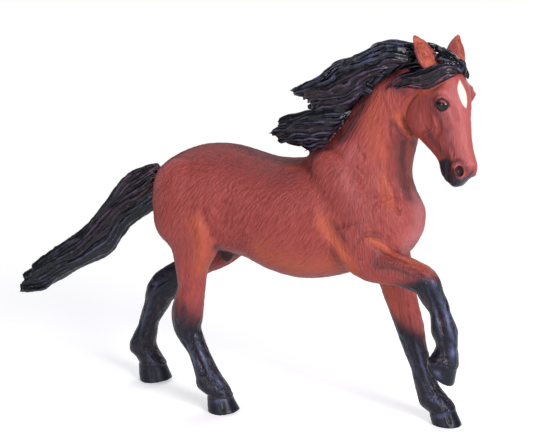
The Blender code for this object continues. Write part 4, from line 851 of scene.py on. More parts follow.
def path_rings(path, half_depths, half_widths, across_hint, squareness=2.0):
    """Sections square to a path. The hint says which way the width lies."""
    rings = []
    for index, centre in enumerate(path):
        ahead = Vector(path[min(index + 1, len(path) - 1)]) - Vector(path[max(index - 1, 0)])
        tangent = ahead.normalized()
        across = (across_hint - tangent * across_hint.dot(tangent)).normalized()
        along = tangent.cross(across)
        halves = (across * half_widths[index], along * half_depths[index])
        rings.append(ring(Vector(centre), *halves, squareness))
    return rings


def ball(middle, halves, pitch=0.0, frame_of_ball=None):
    """A stretched sphere, tipped in side view or laid in a frame of its own."""
    bpy.ops.mesh.primitive_uv_sphere_add(segments=SPHERE_SIDES, ring_count=SPHERE_SIDES // 2, radius=1.0)
    obj = bpy.context.object
    turn = frame_of_ball or Matrix.Rotation(math.radians(pitch), 4, "Y")
    obj.matrix_world = Matrix.Translation(middle) @ turn @ Matrix.Diagonal((*halves, 1.0))
    bpy.ops.object.transform_apply(location=True, rotation=True, scale=True)
    return obj


# Camera, and lines of sight through the photograph's pixels


def aim_camera():
    bpy.ops.object.camera_add()
    camera = bpy.context.object
    camera.name = "photograph_camera"
    level = math.cos(CAMERA_ELEVATION)
    right, back = math.sin(CAMERA_AZIMUTH) * level, -math.cos(CAMERA_AZIMUTH) * level
    outward = Vector((right, back, math.sin(CAMERA_ELEVATION)))
    camera.location = CAMERA_TARGET + outward * CAMERA_DISTANCE
    camera.rotation_euler = (-outward).to_track_quat("-Z", "Y").to_euler()
    camera.data.sensor_width = SENSOR_WIDTH
    camera.data.lens = FOCAL_PIXELS / PICTURE_WIDTH * SENSOR_WIDTH
    bpy.context.scene.camera = camera
    bpy.context.view_layer.update()
    return camera.matrix_world.copy()


def sight(pixel):
    """Where a line of sight starts and the way that it goes."""
    across = (pixel[0] - PICTURE_WIDTH / 2) / FOCAL_PIXELS
    up = (PICTURE_HEIGHT / 2 - pixel[1]) / FOCAL_PIXELS
    heading = camera_place.to_3x3() @ Vector((across, up, -1))
    return camera_place.translation, heading.normalized()


def seen_point(tree, pixel):
    """The surface point that a pixel shows, or the nearest one where the line of sight just misses."""
    start, heading = sight(pixel)
    spot = tree.ray_cast(start, heading)[0]
    if spot is None:
        spot = tree.find_nearest(start + heading * CAMERA_DISTANCE)[0]
    return spot


def on_side_plane(pixel, middle):
    """Where the line of sight through a pixel meets the upright plane along the horse at a y value."""
    start, heading = sight(pixel)
    return start + heading * ((middle - start.y) / heading.y)


def pixels_of(points):
    """The photograph's pixel of each point of an array."""
    local = moved(points, camera_place.inverted())
    across = PICTURE_WIDTH / 2 - FOCAL_PIXELS * local[:, 0] / local[:, 2]
    down = PICTURE_HEIGHT / 2 + FOCAL_PIXELS * local[:, 1] / local[:, 2]
    return np.column_stack((across, down))


# The clay


def model_trunk():
    rings = []
    for along, top, bottom, half_width in finer(TRUNK_SHARES, LOFT_STEPS):
        centre = place((along, 0, (top + bottom) / 2))
        across = Vector((0, half_width * BARREL_WIDTH, 0))
        half_height = Vector((0, 0, (top - bottom) / 2 * WITHERS_HEIGHT))
        rings.append(ring(centre, across, half_height, TRUNK_SQUARENESS))
    return loft(rings)


def model_neck():
    rings = []
    for throat_along, throat_up, crest_along, crest_up, half_width in finer(NECK_SHARES, LOFT_STEPS):
        front = place((throat_along, 0, throat_up))
        back = place((crest_along, 0, crest_up))
        front.y += sway(front.z)
        back.y += sway(back.z)
        across = Vector((0, half_width * BARREL_WIDTH, 0))
        rings.append(ring((front + back) / 2, across, (back - front) / 2, NECK_SQUARENESS))
    return loft(rings)


def model_head():
    rings = []
    turn = head_frame().to_3x3()
    for down, front, back, half_width, squareness in finer(HEAD_SHARES, LOFT_STEPS):
        centre = on_head((down, (front - back) / 2, 0))
        across = turn @ Vector((0, 0, -half_width * HEAD_LENGTH))
        along = turn @ Vector((0, (front + back) / 2 * HEAD_LENGTH, 0))
        rings.append(ring(centre, across, along, squareness))
    return loft(rings)


def model_ear(side):
    """An ear stands on the poll, leans out to its side and ends in a point."""
    turn = head_frame().to_3x3()
    down, front, out = EAR_SEAT_SHARE
    seat = on_head((down, front, out * side))
    up = turn @ Vector((-1, 0, 0))
    outward = turn @ Vector((0, 0, side))
    brow = turn @ Vector((0, 1, 0))
    splay = EAR_SPLAY if side > 0 else FAR_EAR_SPLAY
    lean = (up + outward * math.tan(splay) - brow * math.tan(EAR_TILT)).normalized()
    across = (outward - lean * outward.dot(lean)).normalized()
    shares = finer(EAR_SHARES, LOFT_STEPS)
    length = EAR_LENGTH * (1.0 if side > 0 else FAR_EAR_SHARE)
    path = [seat + lean * rise * length for rise, _ in shares]
    widths = [width * EAR_WIDTH for _, width in shares]
    depths = [width * EAR_THICKNESS for _, width in shares]
    return loft(path_rings(path, depths, widths, across))


def leg_table(name):
    """A leg's fine line, half depths and half widths."""
    shares, depths, widths, _ = LEGS[name]
    rows = [(*place(share), depth / 2, width) for share, depth, width in zip(shares, depths, widths)]
    fine = finer(rows, LOFT_STEPS)
    return fine[:, :3], fine[:, 3], fine[:, 4]


def foot_levels(name):
    """Back and front of each level of a foot, and the level's half width."""
    middle = LEGS[name][0][-1][1] * BARREL_WIDTH + FIGURE_SHIFT.y
    levels = []
    for row, width_share in zip(FOOT_PIXELS[name], FOOT_WIDTH_SHARES):
        back = on_side_plane(row[:2], middle)
        front = on_side_plane(row[2:], middle)
        levels.append((back, front, (front - back).length / 2 * width_share))
    return levels


def model_leg(name):
    path, half_depths, widths = leg_table(name)
    kept = FOOT_START * LOFT_STEPS + 1
    rings = path_rings(path, half_depths, half_depths * widths, Vector((0, 1, 0)), LEG_SQUARENESS)[:kept]
    rows = [(*back, *front, half_width) for back, front, half_width in foot_levels(name)[:-1]]
    for row in finer(rows, LOFT_STEPS):
        back = Vector(row[:3])
        front = Vector(row[3:6])
        rings.append(ring((back + front) / 2, Vector((0, row[6], 0)), (front - back) / 2, LEG_SQUARENESS))
    return loft(rings)


def model_hoof(name):
    """A horn wall that flares from a raised coronet, with round heels and a flat sole."""
    coronet, sole = foot_levels(name)[-2:]
    rings = []
    for place_share, size, heel in HOOF_RING_SHARES:
        back = coronet[0].lerp(sole[0], place_share)
        front = coronet[1].lerp(sole[1], place_share)
        half_width = coronet[2] + (sole[2] - coronet[2]) * place_share
        back += (back - front) * heel
        half = (front - back) / 2 * size
        rings.append(ring((front + back) / 2, Vector((0, half_width * size, 0)), half, LEG_SQUARENESS))
    return loft(rings)


def model_muscles():
    made = []
    for share, halves, pitch in MUSCLE_SHARES:
        for side in (-1, 1):
            middle = place((share[0], share[1] * side, share[2]))
            middle.y += sway(middle.z)
            made.append(ball(middle, [half * BARREL_WIDTH for half in halves], pitch))
    for share, halves, pitch in SINGLE_MUSCLE_SHARES:
        made.append(ball(place(share), [half * BARREL_WIDTH for half in halves], pitch))
    turn = head_frame().to_3x3().to_4x4()
    for share, halves in FACE_SHARES:
        for side in (-1, 1):
            middle = on_head((share[0], share[1], share[2] * side))
            made.append(ball(middle, [half * HEAD_LENGTH for half in halves], frame_of_ball=turn))
    return made


def model_clay():
    """The whole animal but its hair, melted into one skin."""
    parts = [model_trunk(), model_neck(), model_head(), *model_muscles()]
    parts += [model_leg(name) for name in LEGS]
    clay = joined("clay", parts)
    finish_with(clay, "REMESH", mode="VOXEL", voxel_size=ROUGH_VOXEL)
    finish_with(clay, "SMOOTH", factor=0.5, iterations=12)
    clay = joined("clay", [clay, model_ear(1), model_ear(-1), *(model_hoof(name) for name in LEGS)])
    finish_with(clay, "REMESH", mode="VOXEL", voxel_size=FINE_VOXEL)
    finish_with(clay, "SMOOTH", factor=0.5, iterations=4)
    return clay


# Neighbours on a skin, for spreading values


class Skin:
    """The points of a mesh with their neighbours, normals and a few ways to spread values."""

    def __init__(self, obj):
        self.obj = obj
        mesh = obj.data
        corners = values_of(mesh.loops, "vertex_index", kind=int)
        starts = values_of(mesh.polygons, "loop_start", kind=int)
        quads = starts[values_of(mesh.polygons, "loop_total", kind=int) == 4]
        diagonals = [np.column_stack((corners[quads + turn], corners[quads + turn + 2])) for turn in (0, 1)]
        self.edges = values_of(mesh.edges, "vertices", 2, int)
        self.links = np.vstack((self.edges, *diagonals))
        self.count = len(mesh.vertices)
        self.refresh()

    def refresh(self):
        self.points = values_of(self.obj.data.vertices, "co", 3)
        self.normals = values_of(self.obj.data.vertex_normals, "vector", 3)

    def write(self):
        self.obj.data.vertices.foreach_set("co", self.points.ravel())
        self.obj.data.update()
        self.refresh()

    def tree(self):
        return BVHTree.FromObject(self.obj, bpy.context.evaluated_depsgraph_get())

    def flat_on(self, flow):
        """Unit headings along the skin."""
        return unit(flow - (flow * self.normals).sum(1)[:, None] * self.normals)

    def averaged(self, values, rounds):
        """Values smoothed over the skin by so many rounds of averaging with the neighbours."""
        first, second = self.edges.T
        degree = np.bincount(first, minlength=self.count) + np.bincount(second, minlength=self.count)
        values = values.copy()
        columns = values.reshape(self.count, -1)
        for _ in range(rounds):
            for column in columns.T:
                total = np.bincount(first, column[second], self.count)
                total += np.bincount(second, column[first], self.count)
                column[:] = (column + total / degree) / 2
        return values

    def combed(self, values, flow, rounds, keenness=6):
        """Values drawn out along a direction on the skin, as hair strokes."""
        first, second = self.links.T
        step = unit(self.points[second] - self.points[first])
        pull_first = np.abs((step * flow[first]).sum(1)) ** keenness
        pull_second = np.abs((step * flow[second]).sum(1)) ** keenness
        weight = np.bincount(first, pull_first, self.count) + np.bincount(second, pull_second, self.count)
        weight = np.maximum(weight, LEAST_WEIGHT)
        for _ in range(rounds):
            total = np.bincount(first, pull_first * values[second], self.count)
            total += np.bincount(second, pull_second * values[first], self.count)
            values = (values + 2 * total / weight) / 3
        return (values - values.mean()) / values.std()

    def hollows(self, rounds):
        """How deep each point lies under the smoothed skin, in metres, above zero in a hollow."""
        smooth = self.averaged(self.points, rounds)
        return ((smooth - self.points) * self.normals).sum(1)

    def mask(self, name, values):
        attribute = self.obj.data.attributes.new(name, "FLOAT", "POINT")
        attribute.data.foreach_set("value", np.clip(values, 0.0, 1.0).astype(np.float32))


def near_path(points, path, reach):
    """The points within reach of a path, with their distance, share of the way, offset and heading."""
    path = np.array(path)
    low = path.min(0) - reach
    high = path.max(0) + reach
    near = np.flatnonzero(((points > low) & (points < high)).all(1))
    spots = points[near]
    best = np.full(len(near), np.inf)
    share = np.zeros(len(near))
    offset = np.zeros((len(near), 3))
    heading = np.zeros((len(near), 3))
    for index, (start, end) in enumerate(zip(path, path[1:])):
        step = end - start
        t = np.clip((spots - start) @ step / (step @ step), 0.0, 1.0)
        gap = spots - (start + t[:, None] * step)
        far = np.linalg.norm(gap, axis=1)
        closer = far < best
        best[closer] = far[closer]
        share[closer] = (index + t[closer]) / (len(path) - 1)
        offset[closer] = gap[closer]
        heading[closer] = step / np.linalg.norm(step)
    return near, best, share, offset, heading


def opposite(spot, part):
    """The place across the head, the body or a leg."""
    if part == "head":
        local = head_frame().inverted() @ spot
        local.z = -local.z
        return head_frame() @ local
    if part == "leg":
        middle = FAR_LEG_MIDDLE if spot.y > 0 else NEAR_LEG_MIDDLE
    else:
        middle = FIGURE_SHIFT.y + sway(spot.z)
    return Vector((spot.x, 2 * middle - spot.y, spot.z))


def traced(tree, pixels, part, twice):
    """A carved line's path on the skin, and its twin on the other side."""
    path = [seen_point(tree, pixel) for pixel in finer(rows_of(pixels), CARVE_STEPS)]
    paths = [(path, 1)]
    if twice:
        paths.append(([tree.find_nearest(opposite(spot, part))[0] for spot in path], -1))
    return paths


def carve(skin, strokes, part):
    """Moves the skin in or out along the traced lines."""
    tree = skin.tree()
    points = skin.points
    for words, radius, depth, *pixels in strokes:
        *right, kind = words.split()
        radius *= STROKE_UNIT
        depth *= STROKE_UNIT
        for path, hand in traced(tree, pixels, part, not right):
            reach = radius * (2.2 if kind == "step" else 1.0)
            near, far, share, offset, heading = near_path(points, path, reach)
            fade = np.minimum(1.0, 4.5 * np.minimum(share, 1 - share) + 0.15)
            x = far / radius
            if kind == "step":
                side = np.cross(skin.normals[near], heading)
                across = hand * (side * offset).sum(1) / radius
                form = 2.2 * across * np.exp(-1.6 * x**2) * fade
            else:
                form = np.clip(1 - x**2, 0.0, 1.0) ** 2 * fade * (-1 if kind == "cut" else 1)
            points[near] += skin.normals[near] * (depth * form)[:, None]
    skin.write()


def press_dent(skin, middle, axes, sizes, depth, rim):
    """Presses an oval dent with a raised rim. The axes are two directions on the skin."""
    offset = skin.points - np.array(middle)
    x = np.sqrt(sum(((offset @ np.array(axis)) / size) ** 2 for axis, size in zip(axes, sizes)))
    close = np.linalg.norm(offset, axis=1) < 3 * max(sizes)
    into = np.cross(axes[0], axes[1])
    amount = -depth * np.clip(1 - x**2, 0.0, 1.0) ** 0.7 + rim * np.exp(-(((x - 1.25) / 0.28) ** 2))
    skin.points += np.where(close, amount, 0.0)[:, None] * np.array(into)


def shape_face(skin):
    """Nostrils, eye sockets, ear hollows and the carved lines of the head."""
    carve(skin, HEAD_STROKES, "head")
    tree = skin.tree()
    turn = head_frame().to_3x3()
    for pixel, rise, lean, tilt, sizes, depths, rim in DENTS:
        spot = head_frame().inverted() @ seen_point(tree, pixel)
        for side, depth in zip((1, -1), depths):
            middle = head_frame() @ Vector((spot.x - rise, spot.y, spot.z * side))
            out = (turn @ Vector((*lean, side))).normalized()
            up = turn @ Vector((-1.0, tilt, 0))
            up = (up - out * up.dot(out)).normalized()
            press_dent(skin, middle, (up.cross(out), up), sizes, depth, rim)
    skin.write()
    carve(skin, (EAR_HOLLOW,), "head")


def coat_flow(skin):
    """A unit heading at each point along which the hair lies, on the skin."""
    points = skin.points
    flow = np.zeros_like(points)
    for along, up, ahead, rise in COAT_FLOW_SHARES:
        spot = place((along, 0, up))
        gap = (points[:, 0] - spot.x) ** 2 + (points[:, 2] - spot.z) ** 2
        weight = np.exp(-gap / (2 * COAT_FLOW_SPREAD**2)) + LEAST_WEIGHT
        flow += weight[:, None] * np.array((ahead, 0.0, rise))
    for name in LEGS:
        lower = leg_table(name)[0][LOFT_STEPS * 2 :]
        near, far, _, _, heading = near_path(points, lower, THIGH_DEPTH / 2)
        weight = LEG_FLOW_WEIGHT * np.exp(-((far / (STIFLE_DEPTH / 2)) ** 2))
        flow[near] += weight[:, None] * heading
    on_face = face_share(points, *FACE_FLOW_SHARES)[:, None]
    face_way = np.array(head_frame().to_3x3() @ Vector(FACE_FLOW_WAY))
    return skin.flat_on(flow * (1 - on_face) + FACE_FLOW_WEIGHT * on_face * face_way)


def paint_masks(skin):
    """Writes the masks that the coat's paint reads."""
    points = skin.points
    masks = {name: np.zeros(skin.count) for name in ("black", "dark", "warm", "pale", "painted_sheen")}
    masks["hoof"] = on_hooves(skin)

    def lay(name, amount, near=slice(None)):
        masks[name][near] = np.maximum(masks[name][near], amount)

    for name, (shares, _, _, (starts, full, back_lead)) in LEGS.items():
        path = leg_table(name)[0]
        near, far, share, offset, heading = near_path(points, path, THIGH_DEPTH / 2)
        frontness = (offset * np.cross(heading, (0, 1, 0))).sum(1) / (KNEE_DEPTH / 2)
        along = share * (len(shares) - 1) - back_lead * np.clip(frontness, -1, 1)
        inside = np.exp(-((far / (STIFLE_DEPTH / 1.6)) ** 4))
        amount = soft_step(starts, full, along) * on_side(points[near], name) * (far < STIFLE_DEPTH / 2)
        lay("black", amount * inside, near)
    tree = skin.tree()
    for words, strokes in PAINT_STROKES.items():
        *right, name = words.split()
        for radius, strength, *spots in strokes:
            radius *= STROKE_UNIT
            on_face = min(spots[::2]) > FACE_CORNER_PIXEL[0] and max(spots[1::2]) < FACE_CORNER_PIXEL[1]
            for path, _ in traced(tree, spots, "head" if on_face else "body", not right):
                near, far, _, _, _ = near_path(points, path, radius * 2)
                lay(name, strength * np.exp(-((far / radius) ** 2) * PAINT_FADE), near)
    # Painted highlights along the lit ridges of the black legs
    for radius, strength, *spots in LEG_SHEEN_STROKES:
        radius *= STROKE_UNIT
        for path, _ in traced(tree, spots, "leg", True):
            near, far, share, _, _ = near_path(points, path, radius * 2)
            ends = np.sin(np.pi * np.clip(share, 0.1, 0.9))
            lay("painted_sheen", strength * np.exp(-((far / radius) ** 2)) * ends, near)
    local = head_shares_of(points)
    above = points[:, 2] > HEAD_PARTING_FLOOR_SHARE * WITHERS_HEIGHT
    on_skull = above & (local[:, 1] > -0.3) & (local[:, 0] > 0)
    facing = above & (local[:, 1] > 0.10) & (local[:, 0] < 0.6)
    pixels = pixels_of(points)
    twins = pixels_of(moved(local * np.array((1, 1, -1)) * HEAD_LENGTH, head_frame()))
    masks["star"] = inside_outline(pixels, STAR_PIXELS, 0.5) * facing
    # Painted highlight down the lit nose bridge, on both sides
    near, far = (inside_outline(spots, BRIDGE_PIXELS, 2.0) for spots in (pixels, twins))
    lay("pale", BRIDGE_STRENGTH * np.maximum(near, far) * on_skull * (local[:, 1] > 0.05))
    near, far = (inside_outline(spots, MUZZLE_PIXELS, 2.5) for spots in (pixels, twins))
    lay("black", np.where(local[:, 2] > 0, near, far) * on_skull * (local[:, 0] > 0.6))
    nostril = head_frame().inverted() @ seen_point(tree, NOSTRIL_PIXEL) / HEAD_LENGTH
    for side in (1, -1):
        gap = np.linalg.norm(local - np.array((nostril.x, nostril.y, nostril.z * side)), axis=1)
        lay("dark", soft_step(1.1, 0.7, gap * HEAD_LENGTH / NOSTRIL_PAINT))
    under = (np.abs(points[:, 1]) < SHEATH_REACH) & (points[:, 2] < SHEATH_TOP)
    lay("dark", inside_outline(pixels, SHEATH_PIXELS, 1.0) * under)
    # Masks for painted shade in hollows and painted highlight on raised forms
    for name, (rounds, depth) in COAT_SHADE_AND_HIGHLIGHT.items():
        masks[name] = np.clip(skin.hollows(rounds) / depth, 0.0, 1.0)
    for name, values in masks.items():
        skin.mask(name, skin.averaged(values, 6 if name in ("black", "hoof") else 0))


def inside_outline(pixels, outline, softness):
    """1 for each pixel inside an outline, by counting crossings, with an edge so many pixels soft."""
    outline = finer(rows_of((*outline, *outline[:2])), CARVE_STEPS)
    inside = np.zeros(len(pixels), bool)
    nearest = np.full(len(pixels), np.inf)
    for start, end in zip(outline, outline[1:]):
        step = end - start
        t = np.clip((pixels - start) @ step / max(step @ step, TINY), 0.0, 1.0)
        nearest = np.minimum(nearest, np.linalg.norm(pixels - start - t[:, None] * step, axis=1))
        crosses = (start[1] > pixels[:, 1]) != (end[1] > pixels[:, 1])
        rise = end[1] - start[1]
        where = start[0] + (pixels[:, 1] - start[1]) / (rise if abs(rise) > TINY else TINY) * step[0]
        inside ^= crosses & (pixels[:, 0] < where)
    return soft_step(-softness, softness, np.where(inside, nearest, -nearest))


def on_hooves(skin):
    """1 on the hooves' walls and soles, 0 above the coronets."""
    points = skin.points
    horn = np.zeros(skin.count)
    for name in LEGS:
        coronet, sole = foot_levels(name)[-2:]
        middle = np.array((coronet[0] + coronet[1]) / 2)
        across = (coronet[1] - coronet[0]).normalized()
        down = np.array(across.cross(Vector((0, -1, 0))))
        within = on_side(points, name) & (np.linalg.norm(points - middle, axis=1) < HOOF_LENGTH)
        horn = np.maximum(horn, soft_step(*HOOF_EDGE, (points - middle) @ down) * within)
    return horn


def groom_coat(skin, dice):
    """Fine hair strokes pressed into the skin, and a tone for each of them."""
    flow = coat_flow(skin)
    leaning = np.degrees(np.arctan2(-flow[:, 0], -flow[:, 2]))
    skin.mask("lie", skin.averaged(np.clip(leaning, -30, 90) + 30, 4) / 120)
    fine = skin.combed(dice.normal(size=skin.count), flow, 8)
    broad = skin.combed(skin.averaged(dice.normal(size=skin.count), 2), flow, 18)
    skin.mask("strokes", 0.5 + 0.22 * fine)
    skin.mask("locks", 0.5 + 0.22 * broad)
    on_face = face_share(skin.points, *FACE_RELIEF_SHARES)
    on_leg = soft_step(0.50, 0.40, skin.points[:, 2] / WITHERS_HEIGHT)
    on_hoof = on_hooves(skin)
    depth = COAT_RELIEF + (FACE_RELIEF - COAT_RELIEF) * on_face + (LEG_RELIEF - COAT_RELIEF) * on_leg
    depth *= 1 - 0.85 * on_hoof
    furred = 1 - 0.6 * on_face - 0.35 * on_leg
    skin.mask("furred", furred * (1 - 0.9 * on_hoof))
    relief = (np.clip(fine, -2, 2) + 0.25 * np.clip(broad, -2, 2)) * depth
    skin.points += skin.normals * relief[:, None]
    skin.write()


# Parting the clay as the solids part


def box_between(low, high, hinge=None, turn=None):
    low = Vector(low)
    high = Vector(high)
    bpy.ops.mesh.primitive_cube_add(size=1.0)
    obj = bpy.context.object
    matrix = Matrix.Translation((low + high) / 2) @ Matrix.Diagonal((*(high - low), 1.0))
    if turn:
        matrix = Matrix.Translation(hinge) @ turn @ Matrix.Translation(-hinge) @ matrix
    obj.matrix_world = matrix
    bpy.ops.object.transform_apply(location=True, rotation=True, scale=True)
    return obj


def combine(obj, cutter, operation):
    finish_with(obj, "BOOLEAN", operation=operation, object=cutter, solver="MANIFOLD")


def copy_of(obj, name):
    twin = obj.copy()
    twin.data = obj.data.copy()
    twin.name = name
    bpy.context.collection.objects.link(twin)
    return twin


def leg_regions():
    far = CUTTER_REACH
    hind_front = HIND_FRONT_LIMIT_SHARE * BODY_LENGTH + FIGURE_SHIFT.x
    hind_inner = HIND_INNER_FACE_SHARE * BARREL_WIDTH
    hind_top = HIND_PARTING_HEIGHT_SHARE * WITHERS_HEIGHT
    left_back = LEFT_FORE_BACK_SHARE * BODY_LENGTH + FIGURE_SHIFT.x
    left_inner = LEFT_FORE_INNER_SHARE * BARREL_WIDTH
    left_top = LEFT_FORE_TOP_SHARE * WITHERS_HEIGHT
    corner = place(RIGHT_FORE_CORNER_SHARE)
    low = (corner.x, -far, corner.z - far)
    high = (corner.x + far, -RIGHT_FORE_INNER_SHARE * BARREL_WIDTH, corner.z)
    raised = box_between(low, high, corner, Matrix.Rotation(RIGHT_FORE_PITCH, 4, "Y"))
    lower_back, _, lower_top = place(RIGHT_FORE_LOWER_SHARE)
    high = (far, -RIGHT_FORE_LOWER_SHARE[1] * BARREL_WIDTH, lower_top)
    lower = box_between((lower_back, -far, -far), high)
    combine(raised, lower, "UNION")
    discard(lower)
    return {
        "right_hind_leg": box_between((-far, -far, -far), (hind_front, -hind_inner, hind_top)),
        "left_hind_leg": box_between((-far, hind_inner, -far), (hind_front, far, hind_top)),
        "left_foreleg": box_between((left_back, left_inner, -far), (far, far, left_top)),
        "right_foreleg": raised,
    }


def head_region():
    hinge = place(HEAD_PARTING_SHARE)
    hinge.y += sway(hinge.z)
    half = CUTTER_REACH / 2
    turn = Matrix.Rotation(HEAD_PARTING_YAW, 4, "Z") @ Matrix.Rotation(HEAD_PARTING_PITCH, 4, "Y")
    floor = HEAD_PARTING_FLOOR_SHARE * WITHERS_HEIGHT - hinge.z
    low = hinge + Vector((0, -half, floor))
    high = hinge + Vector((CUTTER_REACH, half, half))
    return box_between(low, high, hinge, turn)


def right_side_region():
    """Everything on the right of the parting sheet, which follows the neck's sway."""
    behind = -2 * CUTTER_REACH
    start = SWAY_START_SHARE * WITHERS_HEIGHT
    full = POLL_SHARE[1] * WITHERS_HEIGHT
    heights = [-CUTTER_REACH, *np.linspace(start, full, 24), 2 * CUTTER_REACH]
    outline = [Vector((behind, FIGURE_SHIFT.y + sway(up), up)) for up in heights]
    outline += [Vector((behind, -CUTTER_REACH, heights[-1])), Vector((behind, -CUTTER_REACH, heights[0]))]
    mesh = bpy.data.meshes.new("right_side")
    mesh.from_pydata(outline, [], [list(range(len(outline)))])
    obj = bpy.data.objects.new("right_side", mesh)
    bpy.context.collection.objects.link(obj)
    select_only(obj)
    bpy.ops.object.mode_set(mode="EDIT")
    bpy.ops.mesh.select_all(action="SELECT")
    bpy.ops.mesh.extrude_region_move(TRANSFORM_OT_translate={"value": (4 * CUTTER_REACH, 0, 0)})
    bpy.ops.mesh.select_all(action="SELECT")
    bpy.ops.mesh.normals_make_consistent(inside=False)
    bpy.ops.object.mode_set(mode="OBJECT")
    return obj


def part_clay(clay):
    """The painted pieces by the name of the node that each replaces."""
    pieces = {}
    reach = CUTTER_REACH
    floor = box_between((-2 * reach, -reach, -reach), (2 * reach, reach, 0))
    combine(clay, floor, "DIFFERENCE")
    discard(floor)
    for name, region in (*leg_regions().items(), ("head", head_region())):
        piece = copy_of(clay, "painted_" + name)
        combine(piece, region, "INTERSECT")
        combine(clay, region, "DIFFERENCE")
        discard(region)
        pieces[name] = piece
    side = right_side_region()
    left = copy_of(clay, "painted_body_left_half")
    combine(left, side, "DIFFERENCE")
    combine(clay, side, "INTERSECT")
    clay.name = "painted_body_right_half"
    discard(side)
    pieces["body_left_half"] = left
    pieces["body_right_half"] = clay
    return pieces


def keep_skin_shading(piece, skin_points, skin_normals, skin_masks):
    """Gives a piece the whole clay's normals and masks, so that the partings don't show as edges."""
    mesh = piece.data
    carried = values_of(mesh.attributes["skin_normal"].data, "vector", 3)
    lost = np.flatnonzero(np.linalg.norm(carried, axis=1) < 0.5)
    nearest = np.array([skin_points.find(mesh.vertices[int(index)].co)[1] for index in lost], int)
    carried[lost] = skin_normals[nearest]
    for name, values in skin_masks.items():
        data = mesh.attributes[name].data
        mask = values_of(data, "value")
        mask[lost] = values[nearest]
        data.foreach_set("value", mask)
    corners = values_of(mesh.loops, "vertex_index", kind=int)
    totals = values_of(mesh.polygons, "loop_total", kind=int)
    flat = np.repeat(values_of(mesh.polygons, "normal", 3), totals, axis=0)
    sliver = np.repeat(values_of(mesh.polygons, "area") < SLIVER_AREA, totals)
    skin = unit(carried[corners])
    on_cut = ((skin * flat).sum(1) < 0.5) & ~sliver
    mesh.shade_smooth()
    mesh.normals_split_custom_set(np.where(on_cut[:, None], flat, skin))
    mesh.attributes.remove(mesh.attributes["skin_normal"])


# Hair


def lock_frames(path, hint):
    """Directions across and out of a lock's broad face along its path."""
    ahead = unit(np.gradient(path, axis=0))
    out = unit(hint - (ahead @ hint)[:, None] * ahead)
    return np.cross(ahead, out), out


def comb_lock(path, width, thickness, hint, count, strand, dice, start_share=0.0, taper=LOCK_TAPER_SHARE):
    """The strands of one lock, as point lists with radii and browns, and a core that fills it."""
    path = finer(path, LOCK_STEPS)
    hint = np.array(hint, float)
    broad, out = lock_frames(path, hint / np.linalg.norm(hint))
    t = np.linspace(0, 1, len(path))
    swell = LOCK_ROOT_SHARE + LOCK_SWELL_SHARE * np.sin(np.pi * t) - taper * t**3
    swell *= 0.3 + 0.7 * soft_step(0.1, 0.45, t)
    first = int(len(path) * start_share)
    strands = []
    for number in range(count):
        angle = 2 * math.pi * (number + dice.uniform(-0.3, 0.3)) / count
        rim = dice.uniform(0.55, 0.85)
        swing = dice.uniform(0.04, 0.13)
        swing = swing * np.sin(2 * math.pi * dice.uniform(0.6, 1.3) * t + dice.uniform(0, 6.3))
        twist = angle + dice.uniform(-0.5, 0.5) * t
        side = rim * np.cos(twist) + swing
        lift = rim * np.sin(twist)
        line = path + broad * (side * swell * (width / 2 - strand))[:, None]
        line = line + out * (lift * swell * (thickness / 2 - strand))[:, None]
        last = len(path) - dice.integers(0, max(2, len(path) // 5))
        radii = strand * dice.uniform(0.75, 1.15) * np.clip(1.15 - (t * len(path) / last) ** 3, 0.0, 1.0)
        radii = np.maximum(radii, THINNEST_STRAND)
        strands.append((line[first:last], radii[first:last], np.full(last - first, dice.uniform(0.0, 0.5))))
    for side in (-0.5, 0.0, 0.5):
        line = path + broad * (side * swell * (width / 2))[:, None]
        radii = np.maximum(thickness * 0.34 * swell * (1 - 0.3 * abs(side)), strand / 2)
        last = len(path) - 2
        strands.append((line[first:last], radii[first:last], np.full(last - first, 0.2)))
    return strands


def evenly(path, count):
    """A path's points spaced alike along it."""
    path = np.array(path, float)
    far = way_along(path)
    wanted = np.linspace(0, far[-1], count)
    return np.column_stack([np.interp(wanted, far, column) for column in path.T])


def solid_tree(name):
    """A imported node's surface, for laying strands on."""
    node = bpy.data.objects[name]
    points = [node.matrix_world @ vert.co for vert in node.data.vertices]
    return BVHTree.FromPolygons(points, [tuple(face.vertices) for face in node.data.polygons])


def laid_path(pixels, trees, far_side):
    """A strand's way through the photograph laid on the hair's solid, on the near or the far side."""
    tree, skin_tree = trees
    spots = []
    for pixel in evenly(finer(rows_of(pixels), 3), SHEET_STEPS):
        start, heading = sight(pixel)
        spot = tree.ray_cast(start, heading)[0]
        if spot is None and skin_tree:
            spot = skin_tree.ray_cast(start, heading)[0]
            if spot is not None and spots:
                spot = spot - heading * SHEET_OVER_SKIN
        missed = spot is None
        if missed:
            spot = tree.find_nearest(start + heading * CAMERA_DISTANCE)[0]
            for _ in range(4):
                on_ray = start + heading * (spot - start).dot(heading)
                spot = tree.find_nearest(on_ray)[0]
            aside = on_ray - spot
            spot = spot + aside * min(1.0, OUTLINE_REACH / aside.length)
        if far_side and not missed:
            if skin_tree:
                above = Vector((spot.x, CUTTER_REACH, spot.z))
                back = Vector((0, -1, 0))
                spot = tree.ray_cast(above, back)[0] or skin_tree.ray_cast(above, back)[0] or spot
            else:
                spot = tree.ray_cast(start + heading * CAMERA_DISTANCE * 2, -heading)[0] or spot
        spots.append(spot)
    spots = np.array(spots)
    for _ in range(3):
        spots[1:-1] = (spots[:-2] + 2 * spots[1:-1] + spots[2:]) / 4
    return spots


